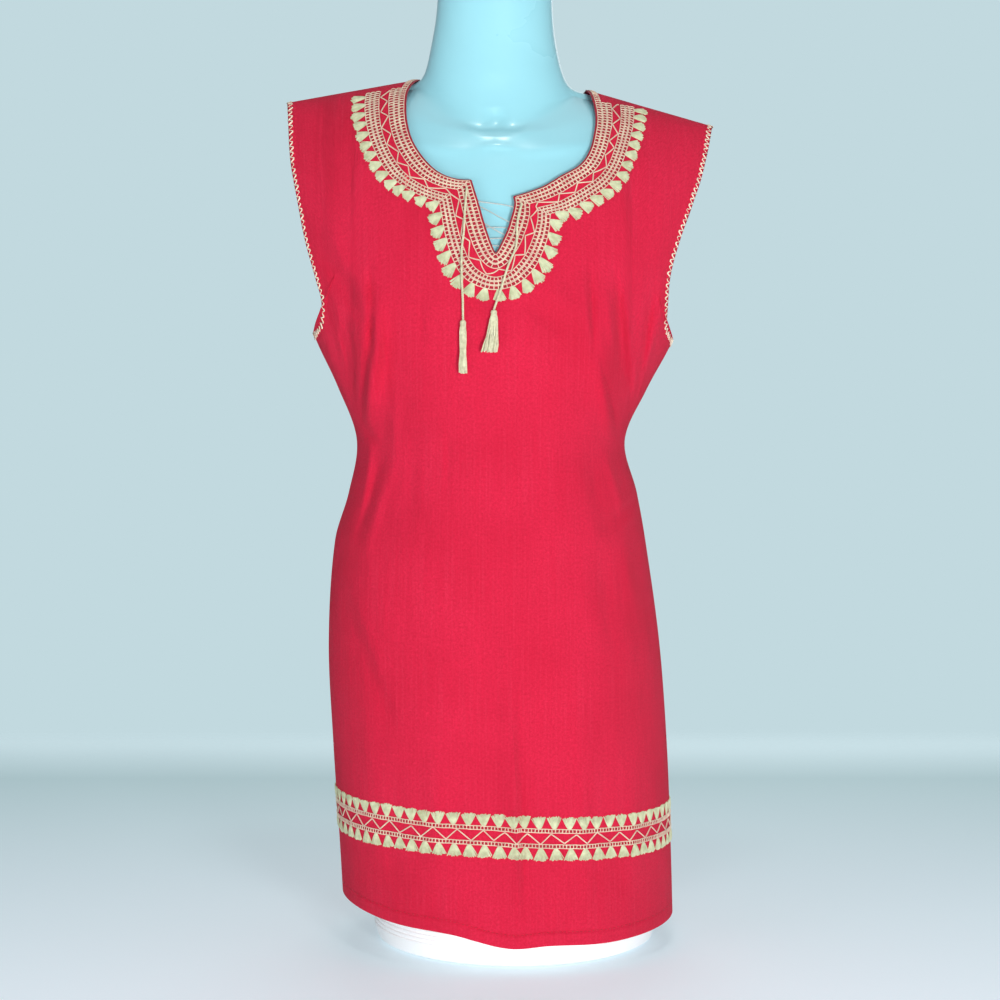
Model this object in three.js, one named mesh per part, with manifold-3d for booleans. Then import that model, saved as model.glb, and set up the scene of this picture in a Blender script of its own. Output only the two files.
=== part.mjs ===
/**
 * A sleeveless embroidered cotton dress on a limbless dress form.
 *
 * Millimetres, +Z up, the dress faces -Y, the origin lies on the floor under the hem's middle.
 * Two cloth panels, sewn at the sides and shoulders, are walls along one cloth surface.
 * The embroidered yoke and border lie on the panels as thin plates made from the same surface.
 */
import * as THREE from "three";
import { mergeVertices } from "three/addons/utils/BufferGeometryUtils.js";
import Module from "manifold-3d";

const wasm = await Module();
wasm.setup();

// Cloth
const WALL = 1.6;
const SEAM_GAP = 0.3;
const YOKE_HEIGHT = 632; // the level of the underarm, where the armholes start
const PANEL_COLUMNS = 24;
const SKIRT_ROWS = 14;
const SECTION_POWER = 2.2;
const FRONT_ROUNDING = 1.1; // how the chest turns over into the shoulder
const BACK_ROUNDING = 0.8;
const SHOULDER_LEAN = 0.055; // the worn dress sits lower on its left shoulder
const LEAN_START = 500;
const LEAN_END = 850;
const SEAM_SHIFT = 8; // the shoulder seams lie this far behind the side seams
const SEAM_SHIFT_START = 690;
const SEAM_SHIFT_END = 867;
const NECK_STEPS = 2; // rings of cells under the neck embroidery
const CHEST_STEPS = 5; // rings from it to the armholes and the yoke line
const BACK_STEPS = 6;

// Embroidery
const STITCH_LIFT = 0.9; // from the cloth's points to the plate's underside
const STITCH_THICKNESS = 1.1;
const NECK_FANS = 44;
const NECK_FIRST = 0.95; // the stations where the plate ends, in front of the shoulder seams
const NECK_LAST = 39.1;
const NECK_BAND = [0.04, 0.37, 0.72]; // shares of the way from the neckline to the fans' tips
const NECK_FAN_TIP = 0.99;
const HEM_FANS = 34; // on each panel
const HEM_BAND_HALF = 12; // from the middle of the border to the roots of its fans
const HEM_FAN_REACH = 25;
const HEM_MARGIN = 0.004; // of a panel's width, which keeps the two borders apart at the side seams
const FAN_ROOT_SHARE = 0.36; // of the fans' pitch
const FAN_TIP_SHARE = 0.84;

// Cord and tassels
const LACE_DIAMETER = 1.4;
const LACE_STEPS = 72;
const TIE_DIAMETER = 2.4;
const TIE_CLEARANCE = 0.5; // from the embroidery to a tie
const TIE_STEPS = 26;
const CORD_SIDES = 8;
const TASSEL_CLEARANCE = 2.2; // from the cloth's points to the tassel's strands
const TASSEL_GAP = 0.4; // from the end of a tie to its tassel
const HEAD_SIDES = 12;
const STRAND_SIDES = 4;
const STRAND_ROOT_DEPTH = 1.6; // how far the strands reach up into the head
const STRAND_INSET = 0.3;
const STRAND_TRIM = 1.5; // off the tassel's length, at least
const STRAND_RAGGED = 2.2; // and at most this much more

// Form and foot
const TORSO_COLUMNS = 40;
const NECK_CAP_RISE = 3;
const RIDGE_START = 0.94; // the turn from which the form comes up to the shoulder seams
const SHOULDER_DRIFT = 3; // the shoulders' middle lies this far to the right of the chest's
const BACK_EXTRA_CLEARANCE = 7.4;
const RIDGE_CLEARANCE = 3.0; // from the cloth's points to the form, where the shoulders carry the dress
const BASE_RADIUS = 149;
const BASE_HEIGHT = 62;
const BASE_CENTRE_X = 16;
const BASE_SIDES = 36;
const COLUMN_RADIUS = 62;
const TORSO_BOTTOM = 250;

/** Level sections of the cloth: height, half width, middle of the width, depth in front and behind. */
const SECTIONS = [
  { at: 20, half: 174, centre: 9, front: 160, back: 158 },
  { at: 100, half: 175, centre: 5.6, front: 157, back: 152 },
  { at: 207, half: 176, centre: 0, front: 150, back: 142 },
  { at: 314, half: 174, centre: -6.4, front: 142, back: 130 },
  { at: 420, half: 163, centre: -10.3, front: 131, back: 116 },
  { at: 470, half: 151.2, centre: -7.6, front: 123, back: 106 },
  { at: 525, half: 140.5, centre: -9.7, front: 118, back: 99 },
  { at: 580, half: 162, centre: -8.4, front: 120, back: 99 },
  { at: 632, half: 187.5, centre: -7.3, front: 124, back: 101 },
  { at: 690, half: 205, centre: -6, front: 124, back: 101 },
  { at: 757, half: 225, centre: -4, front: 124, back: 101 },
  { at: 810, half: 235, centre: -3, front: 124, back: 101 },
  { at: 920, half: 240, centre: -3, front: 124, back: 101 },
];

/** The shoulder seam, by distance from the middle. */
const SHOULDER_LINE = [
  { at: 0, height: 909 },
  { at: 80, height: 896.5 },
  { at: 150, height: 881 },
  { at: 200, height: 869.5 },
  { at: 222, height: 864 },
  { at: 245, height: 855 },
];

/** The hem's height and the middle of the border above it, by x. */
const HEM_LINE = [
  { at: -175, edge: 52, border: 141 },
  { at: -110, edge: 42, border: 139.5 },
  { at: -50, edge: 37, border: 138 },
  { at: 8, edge: 24.5, border: 136 },
  { at: 50, edge: 26.5, border: 133 },
  { at: 110, edge: 24.5, border: 130 },
  { at: 190, edge: 28, border: 126 },
];

const SEAM = 999; // a height above the shoulder: the point lies on the shoulder seam

/** Neckline stations of the front: the cut edge, then the outer tips of the fans. */
const NECK_STATIONS = [
  { x: -84, z: SEAM, tipX: -153, tipZ: SEAM },
  { x: -94, z: 888, tipX: -154, tipZ: 879 },
  { x: -96, z: 880, tipX: -153.7, tipZ: 866 },
  { x: -96.5, z: 871, tipX: -152, tipZ: 852.5 },
  { x: -96, z: 858, tipX: -149, tipZ: 840 },
  { x: -94, z: 845.5, tipX: -144.7, tipZ: 827 },
  { x: -90, z: 832, tipX: -139, tipZ: 814 },
  { x: -83.5, z: 819.5, tipX: -131.5, tipZ: 800 },
  { x: -75, z: 808, tipX: -122.5, tipZ: 787.5 },
  { x: -66, z: 799, tipX: -112, tipZ: 779 },
  { x: -56.5, z: 793, tipX: -101, tipZ: 772 },
  { x: -47, z: 789.5, tipX: -89.5, tipZ: 765.5 },
  { x: -38, z: 787.8, tipX: -79, tipZ: 761 },
  { x: -29.1, z: 787.7, tipX: -71.5, tipZ: 757 },
  { x: -26.5, z: 779, tipX: -69.8, tipZ: 745 },
  { x: -23.5, z: 769.5, tipX: -68, tipZ: 732 },
  { x: -20.3, z: 758.5, tipX: -65, tipZ: 717 },
  { x: -16.5, z: 745, tipX: -60, tipZ: 701 },
  { x: -12, z: 731, tipX: -51, tipZ: 684 },
  { x: -8, z: 720, tipX: -35, tipZ: 671.5 },
  { x: -4.5, z: 713.8, tipX: -8, tipZ: 664.8 },
  { x: -1, z: 718, tipX: 18, tipZ: 668 },
  { x: 4, z: 728.5, tipX: 34, tipZ: 677 },
  { x: 8.5, z: 739, tipX: 46, tipZ: 689.5 },
  { x: 11.5, z: 749, tipX: 54, tipZ: 705 },
  { x: 14, z: 757.5, tipX: 59, tipZ: 719 },
  { x: 15, z: 764.5, tipX: 61.8, tipZ: 734 },
  { x: 14, z: 771, tipX: 63, tipZ: 748 },
  { x: 23, z: 773.5, tipX: 74, tipZ: 750 },
  { x: 33, z: 777, tipX: 85, tipZ: 753.5 },
  { x: 43, z: 781, tipX: 95, tipZ: 759.5 },
  { x: 52.5, z: 786.5, tipX: 104.5, tipZ: 765.5 },
  { x: 62, z: 792.7, tipX: 113.5, tipZ: 771.5 },
  { x: 71, z: 797.5, tipX: 121, tipZ: 778.5 },
  { x: 79.5, z: 803, tipX: 128, tipZ: 788 },
  { x: 87, z: 811.5, tipX: 134, tipZ: 800 },
  { x: 92.5, z: 823, tipX: 139.5, tipZ: 815 },
  { x: 96, z: 837, tipX: 145, tipZ: 831 },
  { x: 98.2, z: 852, tipX: 150, tipZ: 848 },
  { x: 97, z: 870, tipX: 153, tipZ: 866 },
  { x: 90, z: SEAM, tipX: 153.5, tipZ: SEAM },
];

/** Armhole edges from the shoulder tip down to the last point above the underarm. */
const FRONT_ARMHOLE = [
  { leftX: -222, leftZ: SEAM, rightX: 222, rightZ: SEAM },
  { leftX: -218.4, leftZ: 850, rightX: 217, rightZ: 835 },
  { leftX: -215, leftZ: 812, rightX: 208, rightZ: 800 },
  { leftX: -207, leftZ: 770, rightX: 195.5, rightZ: 764 },
  { leftX: -199, leftZ: 730, rightX: 183, rightZ: 730 },
  { leftX: -188.5, leftZ: 693, rightX: 173.5, rightZ: 695 },
  { leftX: -182, leftZ: 668, rightX: 171, rightZ: 662 },
  { leftX: -184.5, leftZ: 645, rightX: 171.5, rightZ: 642 },
];
const BACK_ARMHOLE = [
  { leftX: -222, leftZ: SEAM, rightX: 222, rightZ: SEAM },
  { leftX: -214, leftZ: 830, rightX: 210, rightZ: 815 },
  { leftX: -204, leftZ: 775, rightX: 197, rightZ: 765 },
  { leftX: -196, leftZ: 722, rightX: 187, rightZ: 716 },
  { leftX: -189, leftZ: 672, rightX: 179, rightZ: 668 },
];
const BACK_NECK = { left: -84, right: 90, drop: 26, power: 0.8 };

/** The largest folds: a line down the cloth, the fold's half width, and its rise (a trough is negative). */
const FRONT_FOLDS = [
  { x0: -168, z0: 655, x1: -141, z1: 520, width: 13, rise: -8 },
  { x0: -126, z0: 690, x1: -138, z1: 525, width: 17, rise: 6 },
  { x0: -100, z0: 650, x1: -120, z1: 470, width: 16, rise: -4 },
  { x0: -150, z0: 455, x1: -112, z1: 300, width: 20, rise: 4 },
  { x0: 92, z0: 700, x1: 117, z1: 525, width: 16, rise: 6 },
  { x0: 120, z0: 680, x1: 128, z1: 520, width: 13, rise: -6 },
  { x0: 148, z0: 645, x1: 136, z1: 535, width: 13, rise: 5 },
  { x0: 150, z0: 452, x1: 96, z1: 440, width: 10, rise: -4 },
  { x0: 12, z0: 320, x1: 14, z1: 20, width: 16, rise: 4 },
];
const BACK_FOLDS = [
  { x0: -112, z0: 760, x1: -96, z1: 330, width: 20, rise: 8 },
  { x0: -74, z0: 720, x1: -64, z1: 300, width: 18, rise: -7 },
  { x0: -34, z0: 740, x1: -34, z1: 180, width: 20, rise: 8 },
  { x0: 4, z0: 700, x1: 2, z1: 320, width: 17, rise: -6 },
  { x0: 42, z0: 730, x1: 34, z1: 240, width: 19, rise: 7 },
  { x0: 82, z0: 720, x1: 66, z1: 300, width: 18, rise: -7 },
  { x0: 120, z0: 740, x1: 98, z1: 340, width: 20, rise: 6 },
];

/** Level sections of the form below the yoke line, with its own depths. */
const TORSO_SECTIONS = [
  { z: 250, half: 118, centre: -6, front: 84, back: 80 },
  { z: 262, half: 138, centre: -6, front: 98, back: 94 },
  { z: 330, half: 152, centre: -8, front: 112, back: 104 },
  { z: 420, half: 150, centre: -9, front: 112, back: 102 },
  { z: 480, half: 138, centre: -9.5, front: 108, back: 92 },
  { z: 525, half: 127, centre: -9.7, front: 105, back: 84 },
  { z: 580, half: 142, centre: -8.5, front: 112, back: 88 },
];

/**
 * Rings of the form over the chest and shoulders: half width, the turn over the shoulder at the
 * ring's sides and at its middle in front and behind, and the clearance under the cloth.
 */
const SHOULDER_RINGS = [
  { half: 158, side: 0, front: 0, back: 0, clear: 6 },
  { half: 166, side: 0.14, front: 0.14, back: 0.14, clear: 6 },
  { half: 179, side: 0.26, front: 0.25, back: 0.25, clear: 8.5 },
  { half: 197, side: 0.38, front: 0.35, back: 0.36, clear: 8 },
  { half: 208, side: 0.5, front: 0.42, back: 0.44, clear: 8 },
  { half: 210, side: 0.62, front: 0.465, back: 0.5, clear: 8 },
  { half: 205, side: 0.76, front: 0.495, back: 0.55, clear: 7 },
  { half: 196, side: 0.93, front: 0.52, back: 0.59, clear: 6 },
  { half: 180, side: 1, front: 0.54, back: 0.62, clear: 6.3 },
  { half: 150, side: 1, front: 0.555, back: 0.645, clear: 6.8 },
  { half: 113, side: 1, front: 0.57, back: 0.67, clear: 9 },
  { half: 88, side: 1, front: 0.58, back: 0.69, clear: 9.5 },
];

/** Rings of the neck: half width and middle, depths, and heights in front, behind and at the sides. */
const NECK_RINGS = [
  { half: 78, centre: -4, front: 58, back: 42, frontZ: 858, backZ: 886, sideZ: 890 },
  { half: 72, centre: -5, front: 53.5, back: 43, frontZ: 872, backZ: 898, sideZ: 901 },
  { half: 68, centre: -6, front: 50.5, back: 45, frontZ: 892, backZ: 915, sideZ: 918 },
  { half: 64, centre: -6, front: 49, back: 47, frontZ: 922, backZ: 935, sideZ: 937 },
  { half: 61, centre: -5.5, front: 48.5, back: 49, frontZ: 952, backZ: 958, sideZ: 960 },
  { half: 59, centre: -5, front: 49, back: 50, frontZ: 990, backZ: 990, sideZ: 990 },
];

/** Where the cord is laced to and fro behind the slit, and how far behind the cloth's outside it runs. */
const LACE_STOPS = [
  { x: -25.5, z: 767, behind: 3.3 },
  { x: 17, z: 758.5, behind: 3.3 },
  { x: 18.5, z: 751, behind: 3.3 },
  { x: 17, z: 743.5, behind: 3.3 },
  { x: -26, z: 762.5, behind: 3.5 },
  { x: -28, z: 757, behind: 3.3 },
  { x: -25, z: 751.5, behind: 3.3 },
  { x: 9.5, z: 731.5, behind: 3.3 },
  { x: 13.5, z: 734.5, behind: 4.4 },
  { x: 11.5, z: 738.5, behind: 5.4 },
  { x: -19, z: 738.5, behind: 5.4 },
  { x: -22, z: 734, behind: 5 },
  { x: -17.5, z: 729.5, behind: 4.4 },
  { x: 7.5, z: 728.5, behind: 4.2 },
  { x: 9.5, z: 725, behind: 3.9 },
  { x: 4.5, z: 721.5, behind: 3.6 },
  { x: -11.5, z: 722.5, behind: 3.4 },
];
const LEFT_TIE = [
  { x: -33, z: 780 },
  { x: -35, z: 757 },
  { x: -36, z: 735.5 },
  { x: -38, z: 718 },
  { x: -38, z: 690.4 },
  { x: -37, z: 670 },
  { x: -36.8, z: 656 },
  { x: -36.6, z: 648 },
];
const RIGHT_TIE = [
  { x: 22, z: 764.5 },
  { x: 18.5, z: 752 },
  { x: 17, z: 740 },
  { x: 16, z: 721 },
  { x: 8, z: 701 },
  { x: 2, z: 681.5 },
  { x: -3, z: 667 },
  { x: -6, z: 658 },
];

/** The tassels: sizes, how far the strands drift sideways, and their thickness over their width. */
const LEFT_TASSEL = {
  length: 54, headLength: 8.5, headRadius: 3.3, topRadius: 3.1, bottomRadius: 3.8, drift: 0, flatness: 0.9,
};
const RIGHT_TASSEL = {
  length: 43, headLength: 9, headRadius: 3.5, topRadius: 4.2, bottomRadius: 8.2, drift: -5, flatness: 0.6,
};
const STRAND_RADIUS = 0.62;
const STRAND_RINGS = [
  { count: 12, share: 1 },
  { count: 6, share: 0.48 },
];

const clamp = (value, low, high) => Math.min(Math.max(value, low), high);
const mix = (from, to, share) => from + (to - from) * share;

/** A smooth curve through one column of a table whose rows go up in `at`. */
function along(rows, place, column) {
  const last = rows.length - 1;
  const passed = rows.filter((row) => row.at <= place).length;
  const index = clamp(passed - 1, 0, last - 1);
  const [low, high] = [rows[index], rows[index + 1]];
  const before = rows[Math.max(index - 1, 0)];
  const after = rows[Math.min(index + 2, last)];
  const span = high.at - low.at;
  const share = clamp((place - low.at) / span, 0, 1);
  const slopeLow = ((high[column] - before[column]) / (high.at - before.at)) * span;
  const slopeHigh = ((after[column] - low[column]) / (after.at - low.at)) * span;
  const cube = share ** 3;
  const square = share ** 2;
  return (
    (2 * cube - 3 * square + 1) * low[column] +
    (cube - 2 * square + share) * slopeLow +
    (3 * square - 2 * cube) * high[column] +
    (cube - square) * slopeHigh
  );
}

/** How much the body leans at a height: z falls by this for each millimetre to the right. */
const lean = (z) => SHOULDER_LEAN * clamp((z - LEAN_START) / (LEAN_END - LEAN_START), 0, 1);

/** The y of the side and shoulder seams. */
const seamDepth = (z) =>
  SEAM_SHIFT * clamp((z - SEAM_SHIFT_START) / (SEAM_SHIFT_END - SEAM_SHIFT_START), 0, 1);

const shoulderHeight = (x) => along(SHOULDER_LINE, Math.abs(x), "height");

/** The share of the full depth that is left at x: 1 in the middle, 0 at the side. */
function sideShare(x, z) {
  const reach = Math.abs(x - along(SECTIONS, z, "centre")) / along(SECTIONS, z, "half");
  return Math.sqrt(Math.max(0, 1 - reach ** SECTION_POWER));
}

/** The folds' height at a place on a panel. */
function foldRise(folds, x, z) {
  let rise = 0;
  for (const fold of folds) {
    const run = new THREE.Vector2(fold.x1 - fold.x0, fold.z1 - fold.z0);
    const from = new THREE.Vector2(x - fold.x0, z - fold.z0);
    const share = from.dot(run) / run.lengthSq();
    const across = Math.abs(from.cross(run)) / run.length();
    const taper = Math.sin(Math.PI * clamp(share, 0, 1));
    rise += fold.rise * taper * Math.exp(-((across / fold.width) ** 2));
  }
  return rise;
}

/** One side of the dress: its folds, its depth column and the way it faces. */
const FRONT = { facing: -1, depth: "front", rounding: FRONT_ROUNDING, folds: FRONT_FOLDS };
const BACK = { facing: 1, depth: "back", rounding: BACK_ROUNDING, folds: BACK_FOLDS };

/** A cloth point at x, with turn 0 at the level z and 1 on the shoulder seam above it. */
function clothPoint(side, x, turn, z = YOKE_HEIGHT) {
  const angle = (turn * Math.PI) / 2;
  const height = z + (shoulderHeight(x) - z) * Math.sin(angle);
  const share = sideShare(x, height) * Math.cos(angle) ** side.rounding;
  const seam = seamDepth(height);
  const full = along(SECTIONS, z, side.depth) - side.facing * seam;
  const folded = foldRise(side.folds, x, height) * Math.min(1, share * 2);
  const y = seam + side.facing * (full * share + folded + SEAM_GAP / 2);
  return new THREE.Vector3(x, y, height - lean(height) * x);
}

/** The turn over the shoulder at which a front or back point of a given height lies. */
function turnAt(x, height) {
  const level = height + lean(height) * x;
  const share = (level - YOKE_HEIGHT) / (shoulderHeight(x) - YOKE_HEIGHT);
  return (Math.asin(clamp(share, 0, 1)) * 2) / Math.PI;
}

/** Across a panel: column share 0 at its left side seam and 1 at its right one. */
function acrossPanel(share, z) {
  const angle = (share - 0.5) * Math.PI;
  const reach = Math.sign(angle) * Math.abs(Math.sin(angle)) ** (2 / SECTION_POWER);
  return along(SECTIONS, z, "centre") + along(SECTIONS, z, "half") * reach;
}

/** A point of the skirt or bodice below the yoke line. */
function skirtPoint(side, share, z) {
  return clothPoint(side, acrossPanel(share, z), 0, z);
}

/** Points and cells of a sheet, where points at the same place are one. */
class Sheet {
  constructor() {
    this.points = [];
    this.seams = [];
    this.cells = [];
    this.known = new Map();
  }

  add(point, onSeam = false) {
    const key = point.toArray().map((value) => value.toFixed(2)).join(" ");
    if (!this.known.has(key)) {
      this.known.set(key, this.points.length);
      this.points.push(point);
      this.seams.push(onSeam);
    }
    return this.known.get(key);
  }

  /** Joins a table of point numbers, rows by columns, into cells that face forward. */
  join(rows, flip = false) {
    for (let row = 0; row + 1 < rows.length; row += 1) {
      for (let column = 0; column + 1 < rows[row].length; column += 1) {
        const cell = [
          rows[row][column],
          rows[row][column + 1],
          rows[row + 1][column + 1],
          rows[row + 1][column],
        ];
        this.cells.push(flip ? cell.reverse() : cell);
      }
    }
  }

  triangles() {
    return this.cells.flatMap(([a, b, c, d]) => [[a, b, c], [a, c, d]]);
  }

  /** The outward direction at each point, level with the seam's plane where a seam runs. */
  normals() {
    const normals = this.points.map(() => new THREE.Vector3());
    for (const [a, b, c] of this.triangles()) {
      const first = this.points[b].clone().sub(this.points[a]);
      const second = this.points[c].clone().sub(this.points[a]);
      const face = first.cross(second);
      [a, b, c].forEach((corner) => normals[corner].add(face));
    }
    normals.forEach((normal, index) => {
      if (this.seams[index]) {
        normal.y = 0;
      }
      normal.normalize();
    });
    return normals;
  }

  /** The closed wall between two distances from the sheet. */
  wall(inner, outer) {
    const normals = this.normals();
    const count = this.points.length;
    const positions = [];
    for (const distance of [outer, inner]) {
      this.points.forEach((point, index) => {
        positions.push(...point.clone().addScaledVector(normals[index], distance).toArray());
      });
    }
    const faces = [];
    const edges = new Map();
    for (const [a, b, c] of this.triangles()) {
      faces.push(a, b, c, c + count, b + count, a + count);
      for (const [from, to] of [[a, b], [b, c], [c, a]]) {
        if (!edges.delete(`${to} ${from}`)) {
          edges.set(`${from} ${to}`, [from, to]);
        }
      }
    }
    for (const [from, to] of edges.values()) {
      faces.push(from, from + count, to, to, from + count, to + count);
    }
    return meshGeometry(positions, faces);
  }
}

/** A geometry of its own flat facets from positions and corner numbers. */
function meshGeometry(positions, faces) {
  const geometry = new THREE.BufferGeometry();
  geometry.setAttribute("position", new THREE.Float32BufferAttribute(positions, 3));
  geometry.setIndex(faces);
  return geometry;
}

/** The front neck's turn-over coordinates at a station, which may lie between two rows. */
function neckStation(station) {
  const low = clamp(Math.floor(station), 0, NECK_STATIONS.length - 2);
  const share = station - low;
  const [from, to] = [NECK_STATIONS[low], NECK_STATIONS[low + 1]];
  const edge = (row) => ({ x: row.x, turn: turnAt(row.x, row.z) });
  const tip = (row) => ({ x: row.tipX, turn: turnAt(row.tipX, row.tipZ) });
  const between = (pick) => ({
    x: mix(pick(from).x, pick(to).x, share),
    turn: mix(pick(from).turn, pick(to).turn, share),
  });
  return { edge: between(edge), tip: between(tip) };
}

/** A point of the front between the neckline, 0, and the tips of the fans, 1. */
function neckPoint(station, share) {
  const { edge, tip } = neckStation(station);
  return clothPoint(FRONT, mix(edge.x, tip.x, share), mix(edge.turn, tip.turn, share));
}

/** The outer boundary of an upper block: down the left armhole, along the yoke line, and up. */
function upperBoundary(armhole) {
  const left = armhole.map((row) => ({ x: row.leftX, turn: turnAt(row.leftX, row.leftZ) }));
  const right = armhole.map((row) => ({ x: row.rightX, turn: turnAt(row.rightX, row.rightZ) }));
  const yoke = [];
  for (let column = 0; column <= PANEL_COLUMNS; column += 1) {
    yoke.push({ x: acrossPanel(column / PANEL_COLUMNS, YOKE_HEIGHT), turn: 0 });
  }
  return [...left, ...yoke, ...right.reverse()];
}

/** Adds the rows between the hem and the yoke line. */
function addSkirt(sheet, side) {
  const rows = [];
  for (let row = 0; row <= SKIRT_ROWS; row += 1) {
    const numbers = [];
    for (let column = 0; column <= PANEL_COLUMNS; column += 1) {
      const share = column / PANEL_COLUMNS;
      const hem = along(HEM_LINE, acrossPanel(share, HEM_LINE[0].edge), "edge");
      const point = skirtPoint(side, share, mix(hem, YOKE_HEIGHT, row / SKIRT_ROWS));
      numbers.push(sheet.add(point, column === 0 || column === PANEL_COLUMNS));
    }
    rows.push(numbers);
  }
  sheet.join(rows, side === BACK);
}

/** Adds the block round the neck, from a list of inner points to its outer boundary. */
function addUpper(sheet, side, rings) {
  const rows = rings.map((ring, level) =>
    ring.map((place, column) => {
      const atShoulder = column === 0 || column === ring.length - 1;
      const atUnderarm = level === rings.length - 1 && place.turn === 0;
      const outermost = Math.abs(sideShare(place.x, YOKE_HEIGHT)) < 1e-3;
      const point = clothPoint(side, place.x, place.turn);
      return sheet.add(point, atShoulder || (atUnderarm && outermost));
    }),
  );
  sheet.join(rows.reverse(), side === BACK);
}

/** Rings between two lists of places, the first and the last included. */
function ringsBetween(inner, outer, steps) {
  const rings = [];
  for (let step = 0; step <= steps; step += 1) {
    const share = step / steps;
    rings.push(
      inner.map((place, index) => ({
        x: mix(place.x, outer[index].x, share),
        turn: mix(place.turn, outer[index].turn, share),
      })),
    );
  }
  return rings;
}

function frontPanel() {
  const sheet = new Sheet();
  const stations = NECK_STATIONS.map((row, index) => neckStation(index));
  const edges = stations.map((station) => station.edge);
  const tips = stations.map((station) => station.tip);
  const yokeRings = ringsBetween(edges, tips, NECK_STEPS);
  const outerRings = ringsBetween(tips, upperBoundary(FRONT_ARMHOLE), CHEST_STEPS);
  addSkirt(sheet, FRONT);
  addUpper(sheet, FRONT, [...yokeRings, ...outerRings.slice(1)]);
  return sheet.wall(-WALL, 0);
}

function backPanel() {
  const sheet = new Sheet();
  const boundary = upperBoundary(BACK_ARMHOLE);
  const neck = boundary.map((place, index) => {
    const share = index / (boundary.length - 1);
    const x = mix(BACK_NECK.left, BACK_NECK.right, share);
    const drop = BACK_NECK.drop * Math.max(0, Math.sin(Math.PI * share)) ** BACK_NECK.power;
    return { x, turn: turnAt(x, shoulderHeight(x) - lean(LEAN_END) * x - drop) };
  });
  addSkirt(sheet, BACK);
  addUpper(sheet, BACK, ringsBetween(neck, boundary, BACK_STEPS));
  return sheet.wall(-WALL, 0);
}

/**
 * A stitched plate on the cloth: a band with fans on one or both of its long edges.
 * place(length, breadth) gives the cloth's point; fans lists the rows of fans.
 */
function stitchedPlate(place, count, bandRows, fanRows, flip) {
  const sheet = new Sheet();
  const positions = [];
  for (let fan = 0; fan < count; fan += 1) {
    positions.push(fan + 0.5 - FAN_ROOT_SHARE / 2, fan + 0.5 + FAN_ROOT_SHARE / 2);
  }
  const band = bandRows.map((breadth) =>
    positions.map((position) => sheet.add(place(position / count, breadth))),
  );
  sheet.join(band, flip);
  for (const row of fanRows) {
    for (let fan = 0; fan < count; fan += 1) {
      const middle = fan + 0.5;
      const cross = (breadth, share) =>
        [-share / 2, share / 2].map((step) => sheet.add(place((middle + step) / count, breadth)));
      const inward = row.tip < row.root;
      sheet.join([cross(row.root, FAN_ROOT_SHARE), cross(row.tip, FAN_TIP_SHARE)], flip !== inward);
    }
  }
  return sheet.wall(STITCH_LIFT, STITCH_LIFT + STITCH_THICKNESS);
}

/** Stations a step apart along the roots of the neck's fans, with their distance along them. */
function neckRuler(step = 0.05) {
  const root = NECK_BAND[NECK_BAND.length - 1];
  const marks = [{ at: 0, station: NECK_FIRST }];
  let [before, distance] = [neckPoint(NECK_FIRST, root), 0];
  for (let station = NECK_FIRST + step; station <= NECK_LAST; station += step) {
    const point = neckPoint(station, root);
    distance += point.distanceTo(before);
    marks.push({ at: distance, station });
    before = point;
  }
  return marks;
}

function neckEmbroidery() {
  const marks = neckRuler();
  const whole = marks[marks.length - 1].at;
  const place = (length, breadth) => neckPoint(along(marks, length * whole, "station"), breadth);
  const fans = [{ root: NECK_BAND[NECK_BAND.length - 1], tip: NECK_FAN_TIP }];
  return stitchedPlate(place, NECK_FANS, NECK_BAND, fans, true);
}

function hemEmbroidery(side) {
  const place = (length, breadth) => {
    const share = mix(HEM_MARGIN, 1 - HEM_MARGIN, length);
    const x = acrossPanel(share, HEM_LINE[0].border);
    return skirtPoint(side, share, along(HEM_LINE, x, "border") + breadth);
  };
  const band = [-HEM_BAND_HALF, 0, HEM_BAND_HALF];
  const fans = [
    { root: HEM_BAND_HALF, tip: HEM_FAN_REACH },
    { root: -HEM_BAND_HALF, tip: -HEM_FAN_REACH },
  ];
  return stitchedPlate(place, HEM_FANS, band, fans, side === BACK);
}

/** A round cord along points, closed at both ends. */
function cord(points, diameter, steps) {
  const section = new THREE.Shape();
  section.absarc(0, 0, diameter / 2, 0, 2 * Math.PI, false);
  return new THREE.ExtrudeGeometry(section, {
    steps,
    curveSegments: CORD_SIDES / 2, // the whole circle gets twice as many sides
    bevelEnabled: false,
    extrudePath: new THREE.CatmullRomCurve3(points, false, "centripetal"),
  });
}

/** A point of the front at x and z, moved out by a distance. */
function onFront(place, out) {
  const point = clothPoint(FRONT, place.x, turnAt(place.x, place.z));
  point.y -= out;
  return point;
}

/** How far in front of the cloth a tassel's middle lies. */
function tasselOut({ headRadius, bottomRadius, flatness }) {
  return Math.max(headRadius, bottomRadius * flatness) + TASSEL_CLEARANCE;
}

/** A tie lies on the yoke's plate, then on the cloth below it, and ends over its tassel's middle. */
function tie(places, tasselSizes) {
  const onPlate = STITCH_LIFT + STITCH_THICKNESS + TIE_DIAMETER / 2 + TIE_CLEARANCE;
  const points = places.map((place, index) => {
    const atEnd = index === places.length - 1;
    return onFront(place, atEnd ? tasselOut(tasselSizes) : onPlate);
  });
  return cord(points, TIE_DIAMETER, TIE_STEPS);
}

function laceCrossing() {
  return cord(LACE_STOPS.map((stop) => onFront(stop, -stop.behind)), LACE_DIAMETER, LACE_STEPS);
}

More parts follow.
